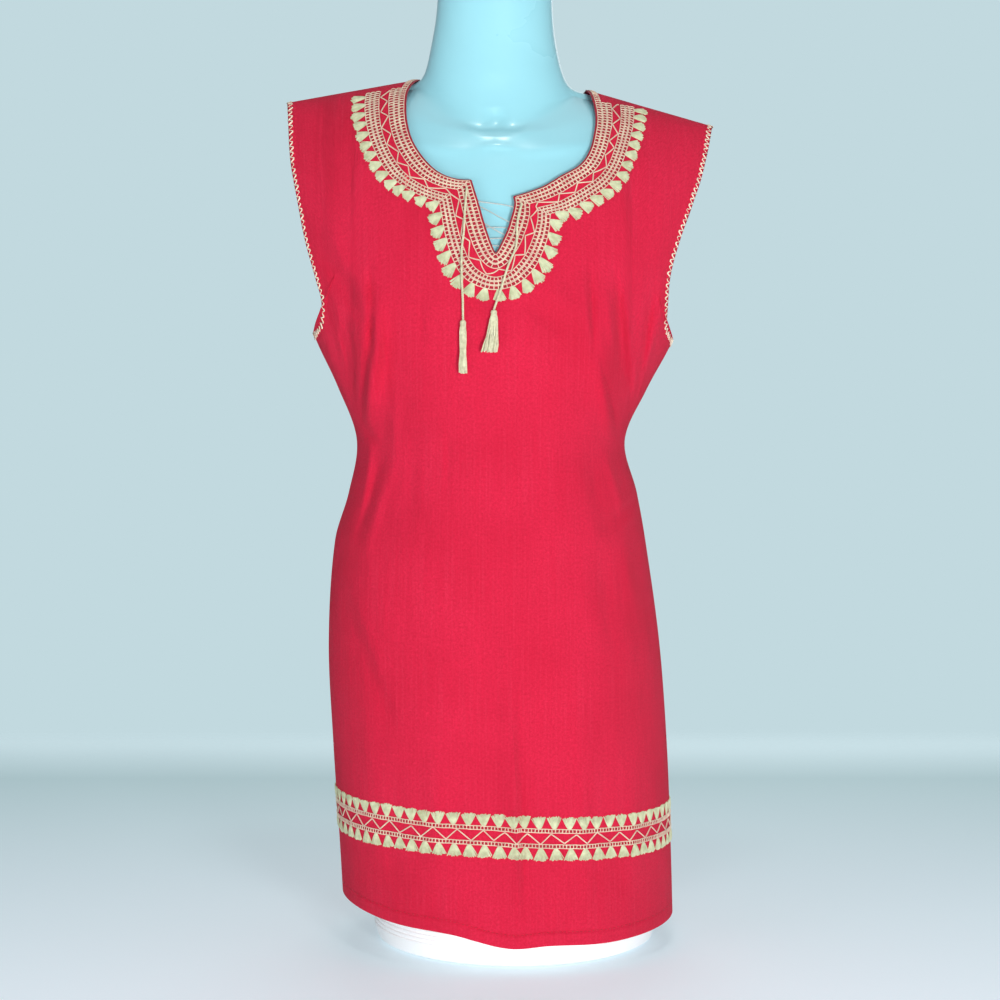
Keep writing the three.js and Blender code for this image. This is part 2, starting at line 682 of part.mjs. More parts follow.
/** One closed body from overlapping ones. */
function fuse(geometries) {
  const solids = geometries.map((geometry) => {
    const bare = geometry.clone();
    bare.deleteAttribute("normal");
    bare.deleteAttribute("uv");
    const merged = mergeVertices(bare, 1e-4);
    return new wasm.Manifold(
      new wasm.Mesh({
        numProp: 3,
        vertProperties: new Float32Array(merged.attributes.position.array),
        triVerts: new Uint32Array(merged.index.array),
      }),
    );
  });
  const whole = solids.reduce((sum, solid) => sum.add(solid));
  const mesh = whole.getMesh();
  return meshGeometry(Array.from(mesh.vertProperties), Array.from(mesh.triVerts));
}

/** A tassel's place, just under the end of its tie. */
function tasselTop(places, tasselSizes) {
  const end = onFront(places[places.length - 1], tasselOut(tasselSizes));
  return [end.x, end.y, end.z - TASSEL_GAP];
}

/** The outline of a tassel's head, as shares of its radius and of its length. */
const HEAD_OUTLINE = [
  { radius: 0, drop: 1 },
  { radius: 0.95, drop: 1 },
  { radius: 1, drop: 0.55 },
  { radius: 0.7, drop: 0.15 },
  { radius: 0, drop: 0 },
];

/** A tassel: a wound head over two rings of hanging strands, its top at the origin. */
function tassel(sizes) {
  const { length, headLength, headRadius } = sizes;
  const outline = HEAD_OUTLINE.map(
    ({ radius, drop }) => new THREE.Vector2(radius * headRadius, -drop * headLength),
  );
  const pieces = [new THREE.LatheGeometry(outline, HEAD_SIDES).rotateX(Math.PI / 2)];
  STRAND_RINGS.forEach((ring, level) => {
    for (let strand = 0; strand < ring.count; strand += 1) {
      const angle = ((strand + level * 0.5) / ring.count) * 2 * Math.PI;
      const ragged = Math.abs(Math.sin(strand * 2.1 + level));
      const end = length - STRAND_TRIM - STRAND_RAGGED * ragged;
      pieces.push(tasselStrand(angle, ring.share, end, sizes));
    }
  });
  return fuse(pieces);
}

/** A four-sided strand from inside the head down to its end. */
function tasselStrand(angle, share, end, sizes) {
  const { headLength, headRadius, topRadius, bottomRadius, drift, flatness } = sizes;
  const levels = [
    { drop: headLength - STRAND_ROOT_DEPTH, radius: headRadius - STRAND_RADIUS - STRAND_INSET },
    { drop: mix(headLength, end, 0.3), radius: topRadius },
    { drop: end, radius: bottomRadius },
  ];
  const positions = [];
  for (const level of levels) {
    const fall = level.drop / end;
    const centreX = Math.cos(angle) * level.radius * share + drift * fall * fall;
    const centreY = Math.sin(angle) * level.radius * share * flatness;
    for (let corner = 0; corner < STRAND_SIDES; corner += 1) {
      const turn = angle + ((corner + 0.5) / STRAND_SIDES) * 2 * Math.PI;
      positions.push(
        centreX + STRAND_RADIUS * Math.cos(turn),
        centreY + STRAND_RADIUS * Math.sin(turn),
        -level.drop,
      );
    }
  }
  const sides = [];
  for (let level = 0; level + 1 < levels.length; level += 1) {
    for (let corner = 0; corner < STRAND_SIDES; corner += 1) {
      const next = (corner + 1) % STRAND_SIDES;
      const [a, b] = [level * STRAND_SIDES + corner, level * STRAND_SIDES + next];
      sides.push(a, a + STRAND_SIDES, b, b, a + STRAND_SIDES, b + STRAND_SIDES);
    }
  }
  const top = [0, 1, 2, 0, 2, 3];
  const bottom = [8, 10, 9, 8, 11, 10];
  return meshGeometry(positions, [...sides, ...top, ...bottom]);
}

/** The share of a ring's half width at an angle round it, 0 in front and a half turn behind. */
function ringReach(angle) {
  return Math.sign(Math.sin(angle)) * Math.abs(Math.sin(angle)) ** (2 / SECTION_POWER);
}

/** A level ring of the form, at an angle round it. */
function hipPoint(section, angle) {
  const depth = Math.cos(angle) > 0 ? section.front : section.back;
  const x = section.centre + section.half * ringReach(angle);
  return new THREE.Vector3(x, -depth * Math.cos(angle), section.z - lean(section.z) * x);
}

/** The outward direction of the plain cloth surface. */
function clothNormal(side, x, turn) {
  const step = 0.02;
  const low = Math.min(turn, 1 - step);
  const rightward = clothPoint(side, x + 1, turn).sub(clothPoint(side, x - 1, turn));
  const upward = clothPoint(side, x, low + step).sub(clothPoint(side, x, low));
  const normal = rightward.cross(upward).multiplyScalar(-side.facing);
  if (turn > 1 - step) {
    normal.y = 0;
  }
  return normal.normalize();
}

/** A ring under the cloth's surface, closest to it along the shoulder seams. */
function shoulderPoint(ring, angle) {
  const side = Math.cos(angle) > 0 ? { ...FRONT, folds: [] } : { ...BACK, folds: [] };
  const turn = mix(ring[side.depth], ring.side, Math.sin(angle) ** 2);
  const middle = along(SECTIONS, YOKE_HEIGHT, "centre") + SHOULDER_DRIFT * turn;
  const x = middle + ring.half * ringReach(angle);
  const plain = ring.clear + (side.facing > 0 ? BACK_EXTRA_CLEARANCE * turn : 0);
  const atRidge = clamp((turn - RIDGE_START) / (1 - RIDGE_START), 0, 1);
  const clear = mix(plain, RIDGE_CLEARANCE, atRidge);
  const point = clothPoint(side, x, turn);
  return point.addScaledVector(clothNormal(side, x, turn), -clear);
}

function neckRingPoint(ring, angle) {
  const depth = Math.cos(angle) > 0 ? ring.front : ring.back;
  const x = ring.centre + ring.half * Math.sin(angle);
  const middleZ = Math.cos(angle) > 0 ? ring.frontZ : ring.backZ;
  const z = mix(middleZ, ring.sideZ, Math.sin(angle) ** 2);
  return new THREE.Vector3(x, -depth * Math.cos(angle), z - lean(z) * x);
}

function torso() {
  const around = (place, rows) =>
    rows.map((row) =>
      Array.from({ length: TORSO_COLUMNS }, (unused, column) =>
        place(row, (column / TORSO_COLUMNS) * 2 * Math.PI),
      ),
    );
  const rows = [
    ...around(hipPoint, TORSO_SECTIONS),
    ...around(shoulderPoint, SHOULDER_RINGS),
    ...around(neckRingPoint, NECK_RINGS),
  ];
  const positions = rows.flat().flatMap((point) => point.toArray());
  const faces = [];
  for (let row = 0; row + 1 < rows.length; row += 1) {
    for (let column = 0; column < TORSO_COLUMNS; column += 1) {
      const next = (column + 1) % TORSO_COLUMNS;
      const [a, b] = [row * TORSO_COLUMNS + column, row * TORSO_COLUMNS + next];
      faces.push(a, b, b + TORSO_COLUMNS, a, b + TORSO_COLUMNS, a + TORSO_COLUMNS);
    }
  }
  const bottom = rows.length * TORSO_COLUMNS;
  const topRow = bottom - TORSO_COLUMNS;
  const neckTop = NECK_RINGS[NECK_RINGS.length - 1];
  positions.push(TORSO_SECTIONS[0].centre, 0, TORSO_BOTTOM);
  positions.push(neckTop.centre, 0, neckTop.frontZ + NECK_CAP_RISE);
  for (let column = 0; column < TORSO_COLUMNS; column += 1) {
    const next = (column + 1) % TORSO_COLUMNS;
    faces.push(bottom, next, column, bottom + 1, topRow + column, topRow + next);
  }
  return meshGeometry(positions, faces);
}

/** The outline of the foot from its underside up: rounded below, then a column up to the form. */
const BASE_OUTLINE = [
  { radius: 0, height: 0 },
  { radius: BASE_RADIUS - 12, height: 0 },
  { radius: BASE_RADIUS - 4, height: 4 },
  { radius: BASE_RADIUS, height: 14 },
  { radius: BASE_RADIUS, height: BASE_HEIGHT - 4 },
  { radius: BASE_RADIUS - 4, height: BASE_HEIGHT },
  { radius: COLUMN_RADIUS + 8, height: BASE_HEIGHT + 4 },
  { radius: COLUMN_RADIUS, height: BASE_HEIGHT + 12 },
  { radius: COLUMN_RADIUS, height: TORSO_BOTTOM - SEAM_GAP },
  { radius: 0, height: TORSO_BOTTOM - SEAM_GAP },
];

/** The round foot of the form. */
function base() {
  const outline = BASE_OUTLINE.map(({ radius, height }) => new THREE.Vector2(radius, height));
  return new THREE.LatheGeometry(outline, BASE_SIDES).rotateX(Math.PI / 2);
}

const FINISHES = {
  cotton: { color: 0xd62f4c, roughness: 0.85, metalness: 0 },
  thread: { color: 0xe0e2c4, roughness: 0.7, metalness: 0 },
  cord: { color: 0xd9dcc8, roughness: 0.8, metalness: 0 },
  turquoise: { color: 0xa9e0e8, roughness: 0.2, metalness: 0 },
  white: { color: 0xf4f4f4, roughness: 0.45, metalness: 0 },
};

const dress = new THREE.Group();

function piece(name, geometry, finish, position = [0, 0, 0]) {
  const mesh = new THREE.Mesh(geometry, new THREE.MeshStandardMaterial(FINISHES[finish]));
  mesh.name = name;
  mesh.position.set(...position);
  dress.add(mesh);
}

piece("front_panel", frontPanel(), "cotton");
piece("back_panel", backPanel(), "cotton");
piece("neck_embroidery", neckEmbroidery(), "thread");
piece("hem_embroidery_front", hemEmbroidery(FRONT), "thread");
piece("hem_embroidery_back", hemEmbroidery(BACK), "thread");
piece("lace_crossing", laceCrossing(), "cord");
piece("tie_left", tie(LEFT_TIE, LEFT_TASSEL), "cord");
piece("tie_right", tie(RIGHT_TIE, RIGHT_TASSEL), "cord");
piece("tassel_left", tassel(LEFT_TASSEL), "thread", tasselTop(LEFT_TIE, LEFT_TASSEL));
piece("tassel_right", tassel(RIGHT_TASSEL), "thread", tasselTop(RIGHT_TIE, RIGHT_TASSEL));
piece("form_torso", torso(), "turquoise");
piece("form_base", base(), "white", [BASE_CENTRE_X, 0, 0]);

export default dress;
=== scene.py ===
"""A sleeveless embroidered cotton dress on a limbless dress form, as it looks.

Tables and sizes are millimetres in the frame's own axes: +Z up, the dress faces -Y. Meshes are
metres. Every piece of the dress lies on the surface that ClothSide works out.
"""

from __future__ import annotations

import logging
import math
import random
from dataclasses import dataclass, field
from enum import Enum
from typing import Callable, Iterable, NamedTuple, Sequence

import bmesh
import bpy
import numpy as np
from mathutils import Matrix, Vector

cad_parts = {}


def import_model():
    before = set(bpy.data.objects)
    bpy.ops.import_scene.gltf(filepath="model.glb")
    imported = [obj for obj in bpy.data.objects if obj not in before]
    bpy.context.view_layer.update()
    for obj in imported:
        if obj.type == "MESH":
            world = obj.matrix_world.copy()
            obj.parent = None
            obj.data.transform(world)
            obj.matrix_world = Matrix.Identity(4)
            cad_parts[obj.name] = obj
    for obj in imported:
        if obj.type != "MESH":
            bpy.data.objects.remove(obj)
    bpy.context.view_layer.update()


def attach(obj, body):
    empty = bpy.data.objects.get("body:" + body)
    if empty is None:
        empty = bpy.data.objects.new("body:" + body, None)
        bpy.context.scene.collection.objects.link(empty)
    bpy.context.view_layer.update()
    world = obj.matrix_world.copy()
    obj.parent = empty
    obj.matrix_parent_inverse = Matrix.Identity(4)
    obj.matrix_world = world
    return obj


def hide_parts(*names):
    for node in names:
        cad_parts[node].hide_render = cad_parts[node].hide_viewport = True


LOG = logging.getLogger("dress")
MM = 0.001
YOKE = 632.0  # the level of the underarm
SECTION_POWER = 2.2
SEAM_GAP = 0.3
CLOTH_THICKNESS = 0.9
DEEPEST_CREASE = -4.5  # the form lies close behind the cloth
CREASE_STOP = 0.6  # how softly a trough ends there
HEM_TURN = 13.5  # the height of the turned-up hem
SEAM = 999.0  # a height above the shoulder: the point lies on the shoulder seam
YOKE_COLUMNS = 25  # stations along the yoke line
GOLDEN_ANGLE = 2.399963

Array = np.ndarray
Tree = bpy.types.NodeTree
Socket = bpy.types.NodeSocket
Node = bpy.types.Node
Material = bpy.types.Material
Mesh = bpy.types.Mesh
Object = bpy.types.Object


# ---- the cloth surface
class Section(NamedTuple):
    """A level section of the cloth."""

    at: float
    half: float
    centre: float
    front: float
    back: float


SECTIONS = (
    Section(20, 174, 9, 160, 158),
    Section(100, 175, 5.6, 157, 152),
    Section(207, 176, 0, 150, 142),
    Section(314, 174, -6.4, 142, 130),
    Section(420, 163, -10.3, 131, 116),
    Section(470, 151.2, -7.6, 123, 106),
    Section(525, 140.5, -9.7, 118, 99),
    Section(580, 162, -8.4, 120, 99),
    Section(632, 187.5, -7.3, 124, 101),
    Section(690, 205, -6, 124, 101),
    Section(757, 225, -4, 124, 101),
    Section(810, 235, -3, 124, 101),
    Section(920, 240, -3, 124, 101),
)


class ShoulderStop(NamedTuple):
    """The shoulder seam's height at a distance from the middle."""

    at: float
    height: float


SHOULDER_LINE = (
    ShoulderStop(0, 909),
    ShoulderStop(80, 896.5),
    ShoulderStop(150, 881),
    ShoulderStop(200, 869.5),
    ShoulderStop(222, 864),
    ShoulderStop(245, 855),
)


class HemStop(NamedTuple):
    """The hem's height and the middle of the border above it, at x."""

    at: float
    edge: float
    border: float


HEM_LINE = (
    HemStop(-175, 52, 141),
    HemStop(-110, 42, 139.5),
    HemStop(-50, 37, 138),
    HemStop(8, 24.5, 136),
    HemStop(50, 26.5, 133),
    HemStop(110, 24.5, 130),
    HemStop(190, 28, 126),
)


class NeckStation(NamedTuple):
    """The front's cut edge, then the outer tips of the fans beside it."""

    x: float
    z: float
    tip_x: float
    tip_z: float


NECK_STATIONS = tuple(
    NeckStation(*row)
    for row in (
        (-84, SEAM, -153, SEAM),
        (-94, 888, -154, 879),
        (-96, 880, -153.7, 866),
        (-96.5, 871, -152, 852.5),
        (-96, 858, -149, 840),
        (-94, 845.5, -144.7, 827),
        (-90, 832, -139, 814),
        (-83.5, 819.5, -131.5, 800),
        (-75, 808, -122.5, 787.5),
        (-66, 799, -112, 779),
        (-56.5, 793, -101, 772),
        (-47, 789.5, -89.5, 765.5),
        (-38, 787.8, -79, 761),
        (-29.1, 787.7, -71.5, 757),
        (-26.5, 779, -69.8, 745),
        (-23.5, 769.5, -68, 732),
        (-20.3, 758.5, -65, 717),
        (-16.5, 745, -60, 701),
        (-12, 731, -51, 684),
        (-8, 720, -35, 671.5),
        (-4.5, 713.8, -8, 664.8),
        (-1, 718, 18, 668),
        (4, 728.5, 34, 677),
        (8.5, 739, 46, 689.5),
        (11.5, 749, 54, 705),
        (14, 757.5, 59, 719),
        (15, 764.5, 61.8, 734),
        (14, 771, 63, 748),
        (23, 773.5, 74, 750),
        (33, 777, 85, 753.5),
        (43, 781, 95, 759.5),
        (52.5, 786.5, 104.5, 765.5),
        (62, 792.7, 113.5, 771.5),
        (71, 797.5, 121, 778.5),
        (79.5, 803, 128, 788),
        (87, 811.5, 134, 800),
        (92.5, 823, 139.5, 815),
        (96, 837, 145, 831),
        (98.2, 852, 150, 848),
        (97, 870, 153, 866),
        (90, SEAM, 153.5, SEAM),
    )
)
SLIT_CORNERS = (0, 13, 27, 40)  # rows where the neckline turns sharply or ends


class ArmholeStop(NamedTuple):
    """The armhole edges at one step down from the shoulder tip."""

    left_x: float
    left_z: float
    right_x: float
    right_z: float


FRONT_ARMHOLE = (
    ArmholeStop(-222, SEAM, 222, SEAM),
    ArmholeStop(-218.4, 850, 217, 835),
    ArmholeStop(-215, 812, 208, 800),
    ArmholeStop(-207, 770, 195.5, 764),
    ArmholeStop(-199, 730, 183, 730),
    ArmholeStop(-188.5, 693, 173.5, 695),
    ArmholeStop(-182, 668, 171, 662),
    ArmholeStop(-184.5, 645, 171.5, 642),
)
BACK_ARMHOLE = (
    ArmholeStop(-222, SEAM, 222, SEAM),
    ArmholeStop(-214, 830, 209, 815),
    ArmholeStop(-204, 775, 194, 765),
    ArmholeStop(-196, 722, 182, 716),
    ArmholeStop(-189, 672, 175, 668),
)
BACK_NECK_LEFT = -84.0
BACK_NECK_RIGHT = 90.0
BACK_NECK_DROP = 26.0


class Fold(NamedTuple):
    """A soft ridge or, with a negative rise, a trough along a line down the cloth."""

    x0: float
    z0: float
    x1: float
    z1: float
    width: float
    rise: float


FRONT_FOLDS = (
    Fold(-168, 655, -141, 520, 13, -8),
    Fold(-126, 690, -138, 525, 17, 6),
    Fold(-100, 650, -120, 470, 16, -4),
    Fold(-150, 455, -112, 300, 20, 4),
    Fold(92, 700, 117, 525, 16, 6),
    Fold(120, 680, 128, 520, 13, -6),
    Fold(148, 645, 136, 535, 13, 5),
    Fold(150, 452, 96, 440, 10, -4),
    Fold(12, 320, 14, 20, 16, 4),
)
BACK_FOLDS = (
    Fold(-112, 760, -96, 330, 20, 8),
    Fold(-74, 720, -64, 300, 18, -7),
    Fold(-34, 740, -34, 180, 20, 8),
    Fold(4, 700, 2, 320, 17, -6),
    Fold(42, 730, 34, 240, 19, 7),
    Fold(82, 720, 66, 300, 18, -7),
    Fold(120, 740, 98, 340, 20, 6),
)
FRONT_CREASES = (
    Fold(-98, 797, -99, 760, 3.2, 3.8),
    Fold(-92, 794, -94, 764, 3.2, -2.7),
    Fold(-36, 670, -12, 650, 4.5, -3.6),
    Fold(-24, 664, 4, 648, 5, 3.2),
    Fold(24, 672, 66, 636, 10, -3.6),
    Fold(44, 690, 92, 640, 9, 3.2),
    Fold(-184, 712, -146, 666, 6.5, -6.2),
    Fold(-176, 740, -150, 690, 6, 4.1),
    Fold(-150, 700, -124, 636, 6, 4.9),
    Fold(-122, 676, -122, 590, 6.5, 5.9),
    Fold(-122, 636, -139, 528, 6, 6.5),
    Fold(-131, 704, -129, 596, 3.4, -6.3),
    Fold(-129, 652, -146, 524, 3.4, -7.2),
    Fold(-158, 662, -149, 560, 5, -4),
    Fold(-166, 690, -140, 640, 3.4, -3.8),
    Fold(-178, 668, -158, 616, 3.2, -3.4),
    Fold(-170, 660, -156, 590, 4.5, 4.6),
    Fold(-112, 660, -116, 560, 6, -3.4),
    Fold(-104, 600, -112, 480, 7, 3.5),
    Fold(-84, 560, -92, 430, 8, -2.5),
    Fold(-80, 676, -78, 606, 3, -1.7),
    Fold(-19, 600, -21, 524, 3, -1.5),
    Fold(3, 622, 4, 576, 3, -1.5),
    Fold(-52, 545, -53, 462, 3, -1.7),
    Fold(-146, 548, -124, 520, 4, -4),
    Fold(-130, 540, -141, 446, 5, 5.4),
    Fold(-120, 512, -148, 420, 4.5, -4.7),
    Fold(-108, 510, -140, 404, 6, 4.3),
    Fold(-158, 400, -112, 262, 8, 4.6),
    Fold(-150, 356, -100, 220, 8, -3.4),
    Fold(-140, 300, -128, 150, 12, 3.5),
    Fold(80, 700, 94, 596, 7, 5.1),
    Fold(94, 640, 117, 520, 6, 6.5),
    Fold(91, 706, 95, 596, 3.6, -5.2),
    Fold(94, 636, 124, 524, 3.4, -7.2),
    Fold(106, 690, 116, 600, 5, 4.6),
    Fold(117, 704, 125, 596, 3.4, -5.4),
    Fold(128, 690, 134, 566, 5, 5.1),
    Fold(123, 632, 139, 548, 3.4, -5.2),
    Fold(157, 684, 137, 552, 3.6, -6),
    Fold(166, 690, 146, 590, 5, 4.9),
    Fold(172, 690, 158, 630, 4.5, 3.8),
    Fold(86, 530, 108, 432, 8, -2.9),
    Fold(106, 520, 128, 448, 5, 4.3),
    Fold(158, 484, 116, 458, 4, 4.9),
    Fold(158, 472, 112, 446, 3.6, -4.3),
    Fold(156, 458, 118, 436, 4, 4.1),
    Fold(118, 440, 146, 330, 8, 4.1),
    Fold(96, 430, 120, 300, 9, -2.9),
    Fold(2, 380, 8, 120, 3.5, 1.9),
    Fold(-22, 440, -14, 210, 3.5, -1.3),
    Fold(10, 330, 20, 26, 4, 4.6),
    Fold(17, 280, 26, 24, 3.6, -3.1),
    Fold(-62, 250, -66, 60, 12, 3.2),
    Fold(-104, 220, -110, 60, 10, -2.5),
    Fold(78, 280, 84, 60, 13, 3.5),
    Fold(132, 220, 138, 50, 10, 3.5),
)
BACK_CREASES = (
    Fold(-150, 640, -138, 520, 9, -5.7),
    Fold(-130, 600, -120, 500, 6, 3.8),
    Fold(-92, 640, -84, 520, 6, 3.4),
    Fold(-52, 560, -50, 410, 6, -3),
    Fold(-16, 620, -14, 470, 6, 3),
    Fold(22, 560, 22, 420, 7, 3),
    Fold(62, 620, 54, 500, 6, -3.4),
    Fold(98, 640, 88, 500, 6, 3.4),
    Fold(136, 640, 124, 520, 9, 4.9),
    Fold(-120, 860, -140, 760, 9, 3.4),
    Fold(-60, 850, -66, 760, 10, -2.7),
    Fold(70, 850, 84, 750, 10, 2.8),
    Fold(140, 850, 150, 750, 9, -3.4),
    Fold(-140, 330, -132, 150, 15, 3.4),
    Fold(-80, 280, -84, 60, 17, 2.8),
    Fold(30, 260, 34, 50, 16, 3),
    Fold(110, 300, 122, 90, 15, 3.2),
)


def hermite(share: Array, low: Array, high: Array, slope_low: Array, slope_high: Array) -> Array:
    """The smooth curve between two values, given its slopes at both.

    Args:
        share: Places from 0 at low to 1 at high.
        low: The first value.
        high: The second value.
        slope_low: The slope at the first.
        slope_high: The slope at the second.

    Returns:
        The values at those places.
    """
    cube, square = share**3, share**2
    return (
        (2 * cube - 3 * square + 1) * low
        + (cube - 2 * square + share) * slope_low
        + (3 * square - 2 * cube) * high
        + (cube - square) * slope_high
    )


def along(rows: Sequence[NamedTuple], place: Array, column: str) -> Array:
    """A smooth curve through one column of a table whose rows go up in `at`.

    Args:
        rows: The table.
        place: Where to read it.
        column: The column's name.

    Returns:
        The values at those places.
    """
    places = np.array([row.at for row in rows], float)
    values = np.array([getattr(row, column) for row in rows], float)
    place = np.asarray(place, float)
    low = np.clip(np.searchsorted(places, place, side="right") - 1, 0, len(rows) - 2)
    high, before, after = low + 1, np.maximum(low - 1, 0), np.minimum(low + 2, len(rows) - 1)
    span = places[high] - places[low]
    share = np.clip((place - places[low]) / span, 0, 1)
    slope_low = (values[high] - values[before]) / (places[high] - places[before]) * span
    slope_high = (values[after] - values[low]) / (places[after] - places[low]) * span
    return hermite(share, values[low], values[high], slope_low, slope_high)


def mix(start: Array, end: Array, share: Array) -> Array:
    """The value at a share of the way from start to end."""
    return start + (end - start) * share


def lean(level: Array) -> Array:
    """How far the cloth falls at a level for each millimetre to the right."""
    return 0.055 * np.clip((level - 500) / 350, 0, 1)


def seam_depth(level: Array) -> Array:
    """The y of the side and shoulder seams at a level."""
    return 8 * np.clip((level - 690) / 177, 0, 1)


def shoulder_height(x: Array) -> Array:
    """The level of the shoulder seam at x."""
    return along(SHOULDER_LINE, np.abs(x), "height")


def side_share(x: Array, level: Array) -> Array:
    """The share of the full depth left at x: 1 in the middle and 0 at the side."""
    reach = np.abs(x - along(SECTIONS, level, "centre")) / along(SECTIONS, level, "half")
    return np.sqrt(np.maximum(0, 1 - reach**SECTION_POWER))


def across(share: Array, level: Array) -> Array:
    """The x at a share of a panel's width, from 0 at its left seam to 1 at its right one."""
    angle = (share - 0.5) * math.pi
    reach = np.sign(angle) * np.abs(np.sin(angle)) ** (2 / SECTION_POWER)
    return along(SECTIONS, level, "centre") + along(SECTIONS, level, "half") * reach


def hem_height(x: Array) -> Array:
    """The hem's level at x."""
    return along(HEM_LINE, x, "edge")


def climb_at(x: Array, z: Array) -> Array:
    """The climb of a place: below 0 under the yoke line, 0 on it and 1 on the shoulder seam."""
    level = z + lean(z) * x
    share = np.clip((level - YOKE) / (shoulder_height(x) - YOKE), 0, 1)
    return np.where(level < YOKE, (level - YOKE) / YOKE, np.arcsin(share) * 2 / math.pi)


@dataclass(frozen=True)
class ClothSide:
    """One side of the dress as a surface over x and climb."""

    name: str
    facing: int
    rounding: float
    folds: tuple[Fold, ...]
    creases: tuple[Fold, ...]

    def rise(self, x: Array, level: Array, folds: Iterable[Fold]) -> Array:
        """The height of folds at a place.

        Args:
            x: Places across.
            level: Their levels.
            folds: The folds.

        Returns:
            The sum of their rises at each place.
        """
        total = np.zeros(np.broadcast(x, level).shape)
        for fold in folds:
            run = np.array((fold.x1 - fold.x0, fold.z1 - fold.z0), float)
            length = float(np.hypot(*run))
            from_x, from_z = x - fold.x0, level - fold.z0
            share = np.clip((from_x * run[0] + from_z * run[1]) / length**2, 0, 1)
            aside = np.abs(from_x * run[1] - from_z * run[0]) / length
            total = total + fold.rise * np.sin(math.pi * share) * np.exp(-((aside / fold.width) ** 2))
        return total

    def hem_fold(self, x: Array, level: Array) -> Array:
        """The doubled cloth of the turned-up hem, with the dent of its stitches.

        Args:
            x: Places across.
            level: Their levels.

        Returns:
            How far the cloth stands out.
        """
        above = level - hem_height(x)
        doubled = 1.0 / (1 + np.exp(np.minimum((above - HEM_TURN) / 0.8, 60)))
        dent = -1.5 * np.exp(-(((above - HEM_TURN) / 1.5) ** 2))
        edge = -0.35 * np.exp(-((above / 1.6) ** 2))
        return doubled + dent + edge

    def point(self, x: Array, climb: Array, creased: bool = True) -> Array:
        """The cloth's outside at x and climb.

        Args:
            x: Places across.
            climb: Their climbs, as climb_at gives them.
            creased: Whether the narrow creases and the hem show.

        Returns:
            The points, x, y and z along the last axis.
        """
        x, climb = np.broadcast_arrays(np.asarray(x, float), np.asarray(climb, float))
        angle = np.clip(climb, 0, 1) * math.pi / 2
        base = YOKE + np.minimum(climb, 0) * YOKE
        level = base + (shoulder_height(x) - base) * np.sin(angle)
        share = side_share(x, level) * np.maximum(np.cos(angle), 0) ** self.rounding
        seam = seam_depth(level)
        full = along(SECTIONS, base, self.name) - self.facing * seam
        folded = self.rise(x, level, self.folds)
        if creased:
            deepest = np.minimum(folded, DEEPEST_CREASE + CREASE_STOP / 2) - CREASE_STOP / 2
            folded = folded + self.rise(x, level, self.creases)
            folded = deepest + CREASE_STOP * np.logaddexp(0, (folded - deepest) / CREASE_STOP)
            folded = folded + self.hem_fold(x, level)
        folded = folded * np.minimum(1, share * 2)
        y = seam + self.facing * (full * share + folded + SEAM_GAP / 2)
        return np.stack([x, y, level - lean(level) * x], axis=-1)

    def slopes(self, x: Array, climb: Array) -> tuple[Array, Array]:
        """How a place moves for each millimetre of x and for each unit of climb.

        Args:
            x: Places across.
            climb: Their climbs.

        Returns:
            Both moves.
        """
        x, climb = np.broadcast_arrays(np.asarray(x, float), np.asarray(climb, float))
        aside, step = 0.3, 0.004
        low = np.minimum(climb - step / 2, 1 - step * 2)
        rightward = self.point(x + aside, climb, False) - self.point(x - aside, climb, False)
        rightward = rightward / (2 * aside)
        upward = (self.point(x, low + step, False) - self.point(x, low, False)) / step
        return rightward, upward

    def normal(self, x: Array, climb: Array) -> Array:
        """The outward direction of the cloth at x and climb."""
        normal = np.cross(*self.slopes(x, climb)) * -self.facing
        return normal / np.maximum(np.linalg.norm(normal, axis=-1, keepdims=True), 1e-9)

    def shifted(self, x: Array, climb: Array, way: Array) -> tuple[Array, Array]:
        """The place a short way along the cloth.

        Args:
            x: Where it starts.
            climb: Its climb there.
            way: A vector in millimetres.

        Returns:
            The x and climb at its end.
        """
        rightward, upward = self.slopes(x, climb)
        pairs = ((rightward, rightward), (rightward, upward), (upward, upward))
        a, b, c = ((p * q).sum(-1) for p, q in pairs)
        p, q = (rightward * way).sum(-1), (upward * way).sum(-1)
        spread = np.maximum(a * c - b * b, 1e-9)
        return x + (c * p - b * q) / spread, climb + (a * q - b * p) / spread

    def lifted(self, x: Array, climb: Array, lift: Array) -> Array:
        """A place lifted off the cloth along its outward direction, in millimetres."""
        lift = np.asarray(lift, float)[..., None]
        return self.point(x, climb) + self.normal(x, climb) * lift


FRONT = ClothSide("front", -1, 1.1, FRONT_FOLDS, FRONT_CREASES)
BACK = ClothSide("back", 1, 0.8, BACK_FOLDS, BACK_CREASES)


def smooth_through(values: Array, stations: Array, corners: Iterable[int] = ()) -> Array:
    """Values between table rows on a smooth curve that keeps its sharp corners.

    Args:
        values: One row of numbers for each table row.
        stations: Places between the rows, counted in rows.
        corners: Rows that the curve doesn't run smoothly through.

    Returns:
        One row of numbers for each station.
    """
    values = np.asarray(values, float)
    last = len(values) - 1
    low = np.clip(np.floor(stations).astype(int), 0, last - 1)
    share = (stations - low)[:, None]
    sharp = np.isin(np.arange(last + 1), list(corners))
    before = np.where(sharp[low] | (low == 0), low, low - 1)
    after = np.where(sharp[low + 1] | (low + 1 == last), low + 1, low + 2)
    span_low = np.where(before == low, 1, 2)[:, None]
    span_high = np.where(after == low + 1, 1, 2)[:, None]
    slope_low = (values[low + 1] - values[before]) / span_low
    slope_high = (values[after] - values[low]) / span_high
    return hermite(share, values[low], values[low + 1], slope_low, slope_high)


NECK_EDGE = np.array([(s.x, climb_at(s.x, s.z)) for s in NECK_STATIONS], float)
NECK_TIPS = np.array([(s.tip_x, climb_at(s.tip_x, s.tip_z)) for s in NECK_STATIONS], float)


